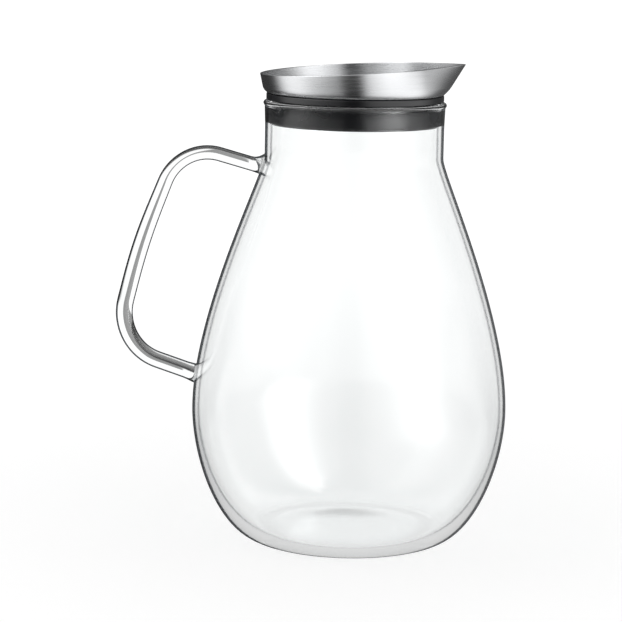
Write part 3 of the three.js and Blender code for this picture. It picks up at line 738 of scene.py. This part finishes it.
# %% [markdown]
# ## The pouring collar
#
# The dish is spun from 0.8 mm sheet: a flat floor with a hole, a rounded corner and an upright wall. Then
# its wall is leant out to a spout on one side, and its rim is cut on a slant, so that it stands highest at
# the spout. Here the dish is turned first, with a rounded rim edge that catches the light, and then every
# vertex above the floor is moved by the same rule as in the CAD model. Cutting the rim with a Boolean would
# break up the even rows of faces round the wall.

# %% Turn the dish and draw out its spout
REAR_HEIGHT, TIP_HEIGHT, SETBACK = 9.6, 15.7, 1.9
COLLAR_RADIUS, SHEET, CORNER, WALL_TOP = 45.5, 0.8, 3.2, FLOOR_BOTTOM + REAR_HEIGHT
SPOUT_WEDGE, SPOUT_SOFTNESS = math.radians(40.2), math.radians(4)


def rim_reach(turn):
    """How far the rim reaches in a direction: a circle with straight sides that run to the spout."""
    lean = SPOUT_WEDGE - math.hypot(turn, SPOUT_SOFTNESS)
    return COLLAR_RADIUS / math.cos(lean) if lean > 0 else COLLAR_RADIUS


def draw_out_spout(mesh):
    """Leans the wall of the dish out to the spout and slants its rim."""
    rear, tip = -SETBACK - COLLAR_RADIUS, -SETBACK + rim_reach(0)
    for vert in mesh.verts:
        x, y, z = vert.co / MM
        turn = math.atan2(y, x)
        rise = max(0, (z - FLOOR_TOP) / (WALL_TOP - FLOOR_TOP))
        lean = rim_reach(turn) - COLLAR_RADIUS
        forwards = -SETBACK + rim_reach(turn) * math.cos(turn) - rear
        lift = (TIP_HEIGHT - REAR_HEIGHT) * forwards / (tip - rear)
        vert.co += Vector((lean * math.cos(turn) - SETBACK, lean * math.sin(turn), lift)) * rise * MM


collar_mesh = turn_section([
    (SKIRT_RADIUS + GAP, FLOOR_BOTTOM, 0.2), (COLLAR_RADIUS, FLOOR_BOTTOM, CORNER),
    (COLLAR_RADIUS, WALL_TOP, 0.3), (COLLAR_RADIUS - SHEET, WALL_TOP, 0.3),
    (COLLAR_RADIUS - SHEET, FLOOR_TOP, CORNER - SHEET), (SKIRT_RADIUS + GAP, FLOOR_TOP, 0.2),
])
draw_out_spout(collar_mesh)
collar_mesh = drill(collar_mesh, screw_places, BOSS_RADIUS + GAP, FLOOR_BOTTOM - CUT_PAST,
                    FLOOR_TOP + CUT_PAST)
hand_over(collar_mesh, "pour_collar", "lid", "brushed_steel", sharp=50)

# %% [markdown]
# ## The gasket and the flap's frame
#
# The frame is a moulded ring. Its flange clamps the dish, with a thin gasket between, its skirt reaches
# down into the plug, and a ledge at the bottom is what the flap's seal closes on. Two ears carry the hinge
# pin. The screws bite in four bosses under the flange. The round parts are turned, and the ears and bosses
# are joined to them, as they are one moulding on the real lid.

# %% Gasket
gasket_mesh = turn_section([(SKIRT_RADIUS + GAP, FLOOR_TOP), (PLUG_RADIUS, FLOOR_TOP),
                            (PLUG_RADIUS, GASKET_TOP), (SKIRT_RADIUS + GAP, GASKET_TOP)])
gasket_mesh = drill(gasket_mesh, screw_places, BOSS_RADIUS + GAP, FLOOR_TOP - CUT_PAST, GASKET_TOP + CUT_PAST)
hand_over(gasket_mesh, "collar_gasket", "lid", "silicone")

# %% Frame with its bosses and ears
FLANGE_MIDDLE, LEDGE_BOTTOM, LEDGE_TOP, LEDGE_RADIUS = 226.5, 222.3, 223.8, 27.0
EAR_RADIUS, EAR_INSIDE, EAR_OUTSIDE, PIN_RADIUS = 2.2, 5.6, 8.6, 0.9
BOSS_BOTTOM, THREAD_TOP = 220.9, 226.2
frame_mesh = turn_section([
    (LEDGE_RADIUS, LEDGE_BOTTOM, 0.2), (SKIRT_RADIUS, LEDGE_BOTTOM, 0.3), (SKIRT_RADIUS, GASKET_TOP),
    (PLUG_RADIUS, GASKET_TOP, 0.1), (PLUG_RADIUS, FRAME_TOP, 0.5), (THROAT_RADIUS, FRAME_TOP, 0.3),
    (THROAT_RADIUS, LEDGE_TOP, 0.1), (LEDGE_RADIUS, LEDGE_TOP, 0.2),
])
bosses = bmesh.new()
for x, y in screw_places:
    add_post(bosses, BOSS_RADIUS, BOSS_BOTTOM, FLANGE_MIDDLE, x, y)
frame_mesh = combine(frame_mesh, bosses, "UNION")
for side in (-1, 1):
    ear = bmesh.new()
    ear_y = sorted((side * EAR_INSIDE, side * EAR_OUTSIDE))
    add_block(ear, (PIN_X - EAR_RADIUS, ear_y[0], FLANGE_MIDDLE), (PIN_X + EAR_RADIUS, ear_y[1], PIN_Z))
    knuckle = bmesh.new()
    add_cross_bar(knuckle, EAR_RADIUS, EAR_OUTSIDE - EAR_INSIDE, PIN_X, sum(ear_y) / 2, PIN_Z)
    frame_mesh = combine(frame_mesh, combine(ear, knuckle, "UNION"), "UNION")
frame_mesh = drill(frame_mesh, screw_places, SHANK_RADIUS + GAP, BOSS_BOTTOM - CUT_PAST, THREAD_TOP)
pin_hole = bmesh.new()
add_cross_bar(pin_hole, PIN_RADIUS + GAP, 2 * (EAR_OUTSIDE + CUT_PAST), PIN_X, 0, PIN_Z)
frame_mesh = combine(frame_mesh, pin_hole, "DIFFERENCE")
hand_over(frame_mesh, "flap_frame", "lid", "lid_plastic")

# %% [markdown]
# ## Screws, rivets and the pin
#
# The small fasteners are turned too. A screw has a low head with a hexagon socket, a rivet has a domed head
# on each side, and the pin is a plain rod with rounded ends. The screws have no thread, because the bosses
# hide it.

# %% Screws
HEAD_BOTTOM, HEAD_TOP, SCREW_TIP = 211.1, 212.5, 225.9
SOCKET_RADIUS, SOCKET_TOP = 0.8, 211.8
for number, (x, y) in enumerate(screw_places, 1):
    screw_mesh = turn_section([
        (0, HEAD_BOTTOM), (HEAD_RADIUS, HEAD_BOTTOM, 0.5), (HEAD_RADIUS, HEAD_TOP, 0.1),
        (SHANK_RADIUS, HEAD_TOP), (SHANK_RADIUS, SCREW_TIP, 0.4), (0, SCREW_TIP),
    ], closed=False, sides=SMALL_SIDES)
    screw_mesh = drill(screw_mesh, [(0, 0)], SOCKET_RADIUS, HEAD_BOTTOM - CUT_PAST, SOCKET_TOP, sides=6)
    bmesh.ops.translate(screw_mesh, verts=screw_mesh.verts[:], vec=(x * MM, y * MM, 0))
    hand_over(screw_mesh, f"clamp_screw_{number}", "lid", "bright_steel")

# %% Rivets
rivet_places = [(-24.4, 0), (-19.4, 0)]
BACKING_BOTTOM, LEAF_SHEET = 224.4, 0.8
RIVET_BOTTOM, RIVET_TOP, LEAF_TOP = 223.7, 228.9, FLAP_TOP + LEAF_SHEET
for number, (x, y) in enumerate(rivet_places, 1):
    rivet_mesh = turn_section([
        (0, RIVET_BOTTOM), (HEAD_RADIUS, RIVET_BOTTOM, 0.5), (HEAD_RADIUS, BACKING_BOTTOM, 0.05),
        (RIVET_RADIUS, BACKING_BOTTOM), (RIVET_RADIUS, LEAF_TOP), (HEAD_RADIUS, LEAF_TOP, 0.05),
        (HEAD_RADIUS, RIVET_TOP, 0.6), (0, RIVET_TOP),
    ], closed=False, sides=SMALL_SIDES)
    bmesh.ops.translate(rivet_mesh, verts=rivet_mesh.verts[:], vec=(x * MM, y * MM, 0))
    hand_over(rivet_mesh, f"flap_rivet_{number}", "flap", "bright_steel")

# %% Hinge pin
pin_mesh = turn_section([(0, -EAR_OUTSIDE), (PIN_RADIUS, -EAR_OUTSIDE, 0.25), (PIN_RADIUS, EAR_OUTSIDE, 0.25),
                         (0, EAR_OUTSIDE)], closed=False, sides=SMALL_SIDES)
bmesh.ops.transform(pin_mesh, verts=pin_mesh.verts[:], matrix=Matrix.Translation(
    Vector((PIN_X, 0, PIN_Z)) * MM) @ Matrix.Rotation(math.pi / 2, 4, "X"))
hand_over(pin_mesh, "hinge_pin", "lid", "bright_steel")

# %% [markdown]
# ## The flap
#
# The flap is a steel disc with a plastic backing and a silicone ring under its edge. A steel leaf is rolled
# round the pin and riveted through all of them, and its upturned end is the stop that limits how far the
# flap opens.

# %% Disc, backing and ring
disc_mesh = turn_section([(0, FLAP_BOTTOM), (FLAP_RADIUS, FLAP_BOTTOM, 0.3), (FLAP_RADIUS, FLAP_TOP, 0.3),
                          (0, FLAP_TOP)], closed=False)
disc_mesh = drill(disc_mesh, rivet_places, RIVET_RADIUS + GAP, FLAP_BOTTOM - CUT_PAST, FLAP_TOP + CUT_PAST)
hand_over(disc_mesh, "flap_disc", "flap", "brushed_steel")

BACKING_RADIUS = 27.8
backing_mesh = turn_section([(0, BACKING_BOTTOM), (BACKING_RADIUS, BACKING_BOTTOM, 0.6),
                             (BACKING_RADIUS, FLAP_BOTTOM, 0.1), (0, FLAP_BOTTOM)], closed=False)
backing_mesh = drill(backing_mesh, rivet_places, RIVET_RADIUS + GAP, BACKING_BOTTOM - CUT_PAST,
                     FLAP_BOTTOM + CUT_PAST)
hand_over(backing_mesh, "flap_backing", "flap", "lid_plastic")

RING_INNER, RING_OUTER, RING_BOTTOM = 28.1, 29.4, 224.1
hand_over(turn_section([
    (RING_INNER, RING_BOTTOM, 0.5), (RING_OUTER, RING_BOTTOM, 0.5), (RING_OUTER, FLAP_BOTTOM, 0.2),
    (RING_INNER, FLAP_BOTTOM, 0.2),
]), "flap_seal", "flap", "silicone")

# %% Rolled leaf with its stop
LEAF_HALF, LEAF_FRONT, LEAF_CORNER, BARREL_RADIUS = 5, -17.1, 2, 1.9
STOP_REACH, OPEN_ANGLE = 3.4, 80
leaf_mesh = bmesh.new()
add_block(leaf_mesh, (PIN_X, -LEAF_HALF, FLAP_TOP), (LEAF_FRONT, LEAF_HALF, LEAF_TOP))
front_corners = [edge for edge in leaf_mesh.edges
                 if all(vert.co.x > (LEAF_FRONT - 1) * MM for vert in edge.verts)
                 and abs(edge.verts[0].co.z - edge.verts[1].co.z) > LEAF_SHEET / 2 * MM]
bmesh.ops.bevel(leaf_mesh, geom=front_corners, offset=LEAF_CORNER * MM, affect="EDGES", segments=6,
                profile=0.5, material=-1)
barrel = bmesh.new()
add_cross_bar(barrel, BARREL_RADIUS, 2 * LEAF_HALF, PIN_X, 0, PIN_Z)
leaf_mesh = combine(leaf_mesh, barrel, "UNION")
stop = bmesh.new()
stop_turn = math.radians(OPEN_ANGLE) - math.asin((PIN_Z - FRAME_TOP - GAP - LEAF_SHEET / 2) / STOP_REACH)
stop_verts = add_block(stop, (-STOP_REACH, -LEAF_HALF, -LEAF_SHEET / 2), (0, LEAF_HALF, LEAF_SHEET / 2))
bmesh.ops.transform(stop, verts=stop_verts, matrix=Matrix.Translation(Vector((PIN_X, 0, PIN_Z)) * MM)
                    @ Matrix.Rotation(stop_turn, 4, "Y"))
leaf_mesh = combine(leaf_mesh, stop, "UNION")
pin_bore = bmesh.new()
add_cross_bar(pin_bore, PIN_RADIUS + GAP, 2 * (LEAF_HALF + CUT_PAST), PIN_X, 0, PIN_Z)
leaf_mesh = combine(leaf_mesh, pin_bore, "DIFFERENCE")
leaf_mesh = drill(leaf_mesh, rivet_places, RIVET_RADIUS + GAP, FLAP_TOP - CUT_PAST, LEAF_TOP + CUT_PAST)
hand_over(leaf_mesh, "hinge_leaf", "flap", "brushed_steel")

# %% [markdown]
# ## Floor, light and camera
#
# The pitcher stands on a plain white floor that runs into a white background. Both look white to the camera
# and to rays that pass through glass without being mirrored in it. The backdrop is a little brighter than
# white, because each face of glass mirrors a few percent of it away.
#
# Clear and shiny things show what is round them, so other rays find other things. A ray that is mirrored
# inside the glass finds a room with darker and brighter sides, which draws soft streaks in the jug. A ray
# that has gone through two surfaces, into a piece of glass and out again, finds a dark table beside and
# behind the handle, which draws the dark streaks in its rod. A ray that is mirrored by steel, silicone or
# plastic, or by the outside of the glass, finds upright panels all round, which give the steel its bands.
# Two soft boxes, one on each side, light all that isn't shiny.
#
# A real set would have these things standing round it. They could be modelled too, but each would then show
# in every other surface. A few switches that tell the kinds of ray apart keep them separate.

# %% What a ray stands for
def ray_kinds(tree):
    """Three switches: white background, dark table for the rod, and room for rays mirrored in the glass."""
    path = add_node(tree, "LightPath")
    strayed = add_node(tree, "Math", {"operation": "ADD"}, _0=path.outputs["Diffuse Depth"],
                       _1=path.outputs["Glossy Depth"])
    straight = add_node(tree, "Math", {"operation": "LESS_THAN"}, _0=strayed.outputs["Value"], _1=0.5)
    through = add_node(tree, "Math", {"operation": "MULTIPLY"}, _0=path.outputs["Is Transmission Ray"],
                       _1=straight.outputs["Value"])
    white = add_node(tree, "Math", {"operation": "MAXIMUM"}, _0=path.outputs["Is Camera Ray"],
                     _1=through.outputs["Value"])
    two_surfaces = add_node(tree, "Math", {"operation": "COMPARE"}, _0=path.outputs["Transmission Depth"],
                            _1=2, _2=0.5)
    rod = add_node(tree, "Math", {"operation": "MULTIPLY"}, _0=through.outputs["Value"],
                   _1=two_surfaces.outputs["Value"])
    turned_back = add_node(tree, "Math", {"operation": "SUBTRACT"}, _0=path.outputs["Is Transmission Ray"],
                           _1=straight.outputs["Value"])
    mirrored = add_node(tree, "Math", {"operation": "SUBTRACT", "use_clamp": True},
                        _0=turned_back.outputs["Value"], _1=path.outputs["Diffuse Depth"])
    return white.outputs["Value"], rod.outputs["Value"], mirrored.outputs["Value"]


def light_round(tree, place, stations):
    """The room's brightness in a direction. Stations are (degrees round from -Y, brightness)."""
    parts = add_node(tree, "SeparateXYZ", Vector=place)
    towards = add_node(tree, "Math", {"operation": "MULTIPLY"}, _0=parts.outputs["Y"], _1=-1)
    azimuth = add_node(tree, "Math", {"operation": "ARCTAN2"}, _0=parts.outputs["X"],
                       _1=towards.outputs["Value"])
    share = add_node(tree, "MapRange", Value=azimuth.outputs["Value"], _1=-math.pi, _2=math.pi, _3=0, _4=1)
    ramp = add_node(tree, "ValToRGB", Fac=share.outputs["Result"])
    stops, brightest = ramp.color_ramp.elements, max(brightness for _, brightness in stations)
    for index, (degrees, brightness) in enumerate(stations):
        stop = stops[index] if index < 2 else stops.new(1)
        stop.position, stop.color = degrees / 360 + 0.5, [brightness / brightest] * 3 + [1]
    return add_node(tree, "Math", {"operation": "MULTIPLY"}, _0=ramp.outputs["Color"],
                    _1=brightest).outputs["Value"]


SMOOTH = {"interpolation_type": "SMOOTHSTEP"}
print("the room's brightness is set by direction, from -180 to 180 degrees")

# %% [markdown]
# ### The floor
#
# A white paper floor is lit by the lamps and takes the pitcher's shadow, and it also glows, so that it runs
# into the backdrop. Near the foot it glows a little less, a painted shade round the foot. The dark table is
# only seen through two surfaces of glass: a ring round the handle's side that deepens outwards, and a paler
# strip that reaches back from it.
# Where it is dark the paper takes less of the lamps' light too, or that light would grey it. Distances here
# are in metres.

# %% Floor
SEEN_IN_GLASS = [(-180, 1.0), (-132, 1.0), (-112, 0.1), (-98, 0.12), (-88, 0.4), (-79, 0.55), (-65, 0.35),
                 (-54, 0.2), (-40, 0.15), (-13, 0.05), (-9, 0), (4, 0.05), (10, 0.4), (20, 0.6), (26, 1.1),
                 (31, 1.8), (36, 2.6), (42, 3.8), (48, 5.0), (54, 5.5), (59, 5.0), (65, 3.0), (72, 1.2),
                 (78, 0.2), (90, 0), (115, 0.1), (135, 1.0), (180, 1.0)]
HANDLE_X, NEAR_DARK, FAR_DARK, STRIP_DARK = -0.1, 0.72, 0.94, 0.7
TABLE_STARTS, TABLE_DEEPENS, TABLE_ENDS = (0.09, 0.12), (0.13, 0.26), (0.33, 0.47)
STRIP_EDGES = [("X", -0.12, -0.105, 1, 0), ("X", -0.6, -0.5, 0, 1), ("Y", 0.0, 0.05, 0, 1),
               ("Y", 1.6, 2.0, 1, 0)]
GLOW_GROWS, SHADED_FOOT_GLOW, FAR_GLOW = (0.1, 0.9), 0.78, 1.0
MIRRORED_GROWS, MIRRORED_FOOT = (0.15, 0.5), 0.75
FLOOR_RADIUS, FLOOR_SIDES, PAPER = 12, 96, "a0a0a0"


def make_floor():
    material, tree = new_material("white_floor")
    place = add_node(tree, "TexCoord").outputs["Object"]
    white, rod, mirrored = ray_kinds(tree)
    reach = add_node(tree, "VectorMath", {"operation": "LENGTH"}, _0=place)
    # The glow is lower near the foot: painted shade round the pitcher's foot, on top of the lamps' own
    # shadow.
    glow = add_node(tree, "MapRange", Value=reach.outputs["Value"], _1=GLOW_GROWS[0], _2=GLOW_GROWS[1],
                    _3=SHADED_FOOT_GLOW, _4=FAR_GLOW)

    distance = add_node(tree, "VectorMath", {"operation": "DISTANCE"}, _0=place,
                        _1=(HANDLE_X, 0, 0)).outputs["Value"]
    away = add_node(tree, "MapRange", SMOOTH, Value=distance, _1=TABLE_STARTS[0], _2=TABLE_STARTS[1],
                    _3=0, _4=1)
    near = add_node(tree, "MapRange", SMOOTH, Value=distance, _1=TABLE_ENDS[0], _2=TABLE_ENDS[1], _3=1, _4=0)
    depth = add_node(tree, "MapRange", Value=distance, _1=TABLE_DEEPENS[0], _2=TABLE_DEEPENS[1],
                     _3=NEAR_DARK, _4=FAR_DARK)
    near = add_node(tree, "Math", {"operation": "MULTIPLY"}, _0=near.outputs["Result"],
                    _1=depth.outputs["Result"])
    parts = add_node(tree, "SeparateXYZ", Vector=place)
    strip = STRIP_DARK
    for axis, low, high, before, beyond in STRIP_EDGES:
        edge = add_node(tree, "MapRange", SMOOTH, Value=parts.outputs[axis], _1=low, _2=high, _3=before,
                        _4=beyond)
        strip = add_node(tree, "Math", {"operation": "MULTIPLY"}, _0=edge.outputs["Result"],
                         _1=strip).outputs["Value"]
    dark = add_node(tree, "Math", {"operation": "MAXIMUM"}, _0=near.outputs["Value"], _1=strip)
    dark = add_node(tree, "Math", {"operation": "MULTIPLY"}, _0=dark.outputs["Value"],
                    _1=away.outputs["Result"])
    in_rod = add_node(tree, "Math", {"operation": "MULTIPLY"}, _0=dark.outputs["Value"], _1=rod)
    kept = add_node(tree, "Math", {"operation": "SUBTRACT"}, _0=1, _1=in_rod.outputs["Value"])
    colour = add_node(tree, "Mix", {"data_type": "RGBA"}, _0=kept.outputs["Value"], _6=(0, 0, 0, 1),
                      _7=linear(PAPER))

    lit = add_node(tree, "Math", {"operation": "MULTIPLY"}, _0=glow.outputs["Result"],
                   _1=kept.outputs["Value"])
    shown = add_node(tree, "Math", {"operation": "MULTIPLY"}, _0=white, _1=lit.outputs["Value"])
    surface = add_node(tree, "BsdfDiffuse", Color=colour.outputs[2])
    light = add_node(tree, "Emission", Color=(1, 1, 1, 1), Strength=shown.outputs["Value"])
    paper = add_node(tree, "AddShader", _0=surface.outputs["BSDF"], _1=light.outputs["Emission"])
    outwards = add_node(tree, "MapRange", SMOOTH, Value=reach.outputs["Value"], _1=MIRRORED_GROWS[0],
                        _2=MIRRORED_GROWS[1], _3=0, _4=1)
    mirror_light = add_node(tree, "Mix", {"data_type": "FLOAT"}, _0=outwards.outputs["Result"],
                            _2=MIRRORED_FOOT, _3=light_round(tree, place, SEEN_IN_GLASS))
    room = add_node(tree, "Emission", Color=(1, 1, 1, 1), Strength=mirror_light.outputs[0])
    both = add_node(tree, "MixShader", _0=mirrored, _1=paper.outputs["Shader"], _2=room.outputs["Emission"])
    add_node(tree, "OutputMaterial", Surface=both.outputs["Shader"])
    return material


floor_mesh = bmesh.new()
bmesh.ops.create_circle(floor_mesh, cap_ends=True, radius=FLOOR_RADIUS, segments=FLOOR_SIDES)
floor = as_object(floor_mesh, "floor")
floor.data.materials.append(make_floor())
floor.visible_glossy = False
print("the floor is", 2 * FLOOR_RADIUS, "metres across")

# %% [markdown]
# ### The room
#
# Steel and silicone mirror upright panels that stand all round: dark at the front and the back, bright at
# both sides, and fading towards the floor. The inside of the dish mirrors upwards, into a second set that
# is brighter on the left and at the front right, and darker at the right. An even ceiling lies over all of
# it. Rays that are mirrored inside the glass find a room of their own. Each set is a list of directions, in
# degrees round from -Y with +X at 90, and brightnesses, because one real lamp for each would be slow to
# adjust and noisy in the glass. Heights are the Z part of a ray's direction, from -1 to 1.

# %% World
PANELS = [(-180, 0.04), (-128, 0.05), (-118, 0.1), (-110, 0.4), (-102, 0.95), (-94, 1.3), (-84, 1.42),
          (-70, 1.3), (-50, 0.82), (-30, 0.53), (-18, 0.37), (-12, 0.1), (-7, 0.04), (8, 0.03), (12, 0.3),
          (20, 0.95), (30, 1.2), (45, 1.45), (84, 1.6), (94, 1.4), (103, 0.95), (115, 0.45), (125, 0.2),
          (138, 0.12), (180, 0.12)]
RAISED_PANELS = [(-180, 0.15), (-125, 0.3), (-105, 0.9), (-85, 2.5), (-68, 2.9), (-55, 2.7), (-45, 2.2),
                 (-32, 1.35), (-19, 1.0), (-12, 0.5), (-6, 0.2), (6, 0.1), (12, 0.65), (19, 1.35), (32, 1.7),
                 (45, 2.1), (60, 1.95), (70, 1.7), (78, 1.2), (86, 0.8), (94, 0.5), (104, 0.32), (115, 0.2),
                 (180, 0.12)]
OVERHEAD, ROOM_LIGHT, BACKDROP, LOWEST_SHARE = 0.95, 0.35, 1.12, 0.1
FADES_DOWN, RAISED_FROM, OVERHEAD_FROM = (-0.9, -0.5), (0.1, 0.25), (0.75, 0.95)


def make_world():
    world = bpy.data.worlds.new("white_room")
    bpy.context.scene.world = world
    world.use_nodes = True
    tree = world.node_tree
    tree.nodes.clear()
    direction = add_node(tree, "TexCoord").outputs["Generated"]
    white, _, mirrored = ray_kinds(tree)
    height = add_node(tree, "SeparateXYZ", Vector=direction).outputs["Z"]
    panels = light_round(tree, direction, PANELS)
    below = add_node(tree, "MapRange", SMOOTH, Value=height, _1=FADES_DOWN[0], _2=FADES_DOWN[1],
                     _3=LOWEST_SHARE, _4=1)
    above = add_node(tree, "MapRange", SMOOTH, Value=height, _1=OVERHEAD_FROM[0], _2=OVERHEAD_FROM[1],
                     _3=0, _4=1)
    raised = add_node(tree, "MapRange", SMOOTH, Value=height, _1=RAISED_FROM[0], _2=RAISED_FROM[1],
                      _3=0, _4=1)
    panels = add_node(tree, "Mix", {"data_type": "FLOAT"}, _0=raised.outputs["Result"], _2=panels,
                      _3=light_round(tree, direction, RAISED_PANELS)).outputs[0]
    dimmed = add_node(tree, "Math", {"operation": "MULTIPLY"}, _0=panels, _1=below.outputs["Result"])
    glossy = add_node(tree, "Mix", {"data_type": "FLOAT"}, _0=above.outputs["Result"],
                      _2=dimmed.outputs["Value"], _3=OVERHEAD)
    room = add_node(tree, "Background", Color=(1, 1, 1, 1), Strength=ROOM_LIGHT)
    glossy_room = add_node(tree, "Background", Color=(1, 1, 1, 1), Strength=glossy.outputs[0])
    in_glass = add_node(tree, "Background", Color=(1, 1, 1, 1),
                        Strength=light_round(tree, direction, SEEN_IN_GLASS))
    backdrop = add_node(tree, "Background", Color=(1, 1, 1, 1), Strength=BACKDROP)
    path = add_node(tree, "LightPath")
    lit = add_node(tree, "MixShader", _0=path.outputs["Is Glossy Ray"], _1=room.outputs["Background"],
                   _2=glossy_room.outputs["Background"])
    with_glass = add_node(tree, "MixShader", _0=mirrored, _1=lit.outputs["Shader"],
                          _2=in_glass.outputs["Background"])
    shown = add_node(tree, "MixShader", _0=white, _1=with_glass.outputs["Shader"],
                     _2=backdrop.outputs["Background"])
    add_node(tree, "OutputWorld", Surface=shown.outputs["Shader"])


make_world()
print("the backdrop is", BACKDROP, "bright, and the room lights matt surfaces at", ROOM_LIGHT)

# %% [markdown]
# ### Soft boxes and camera
#
# Two large soft boxes stand for window-sized lamps. They only light matt surfaces and cast the soft shadow:
# in mirror-like surfaces the panels take their place. The camera's place and lens were fitted to the
# outline of the jug, so it stands a little above the lid and looks down on it with a long lens.

# %% Soft boxes
AIM_HEIGHT = 0.15


def add_soft_box(name, azimuth, distance, height, width, tall, radiance):
    """A soft box that looks at the jug, in metres. Azimuth is in degrees round from -Y, with +X at 90."""
    lamp = bpy.data.lights.new(name, "AREA")
    lamp.shape, lamp.size, lamp.size_y = "RECTANGLE", width, tall
    lamp.energy = radiance * math.pi * width * tall
    box = bpy.data.objects.new(name, lamp)
    bpy.context.scene.collection.objects.link(box)
    turn = math.radians(azimuth)
    box.location = (distance * math.sin(turn), -distance * math.cos(turn), height)
    aim = Vector((0, 0, AIM_HEIGHT)) - box.location
    box.rotation_euler = aim.to_track_quat("-Z", "Y").to_euler()
    box.visible_glossy = box.visible_transmission = False
    print(name, "at", [round(value, 2) for value in box.location])


add_soft_box("left_soft_box", -83, 1.0, 0.3, 0.95, 0.9, 1.5)
add_soft_box("right_soft_box", 55, 1.0, 0.35, 1.15, 0.9, 1.6)

# %% Camera
CAMERA_PLACE = (0, -1.180256, 0.31267)
PITCH, YAW, ROLL, LENS, SENSOR_WIDTH = 9.507, -0.970, -1.055, 137.55, 36
pitch, yaw, roll = (math.radians(angle) for angle in (PITCH, YAW, ROLL))
forward = Vector((math.sin(yaw) * math.cos(pitch), math.cos(yaw) * math.cos(pitch), -math.sin(pitch)))
right = Vector((math.cos(yaw), -math.sin(yaw), 0))
up = right.cross(forward)
camera_x = right * math.cos(roll) - up * math.sin(roll)
camera_y = right * math.sin(roll) + up * math.cos(roll)
camera_data = bpy.data.cameras.new("camera")
camera_data.lens, camera_data.sensor_width = LENS, SENSOR_WIDTH
camera = bpy.data.objects.new("camera", camera_data)
bpy.context.scene.collection.objects.link(camera)
camera.matrix_world = (Matrix.Translation(CAMERA_PLACE)
                       @ Matrix((camera_x, camera_y, -forward)).transposed().to_4x4())
bpy.context.scene.camera = camera
bpy.context.scene.view_settings.view_transform = "Standard"
print("camera at", CAMERA_PLACE)
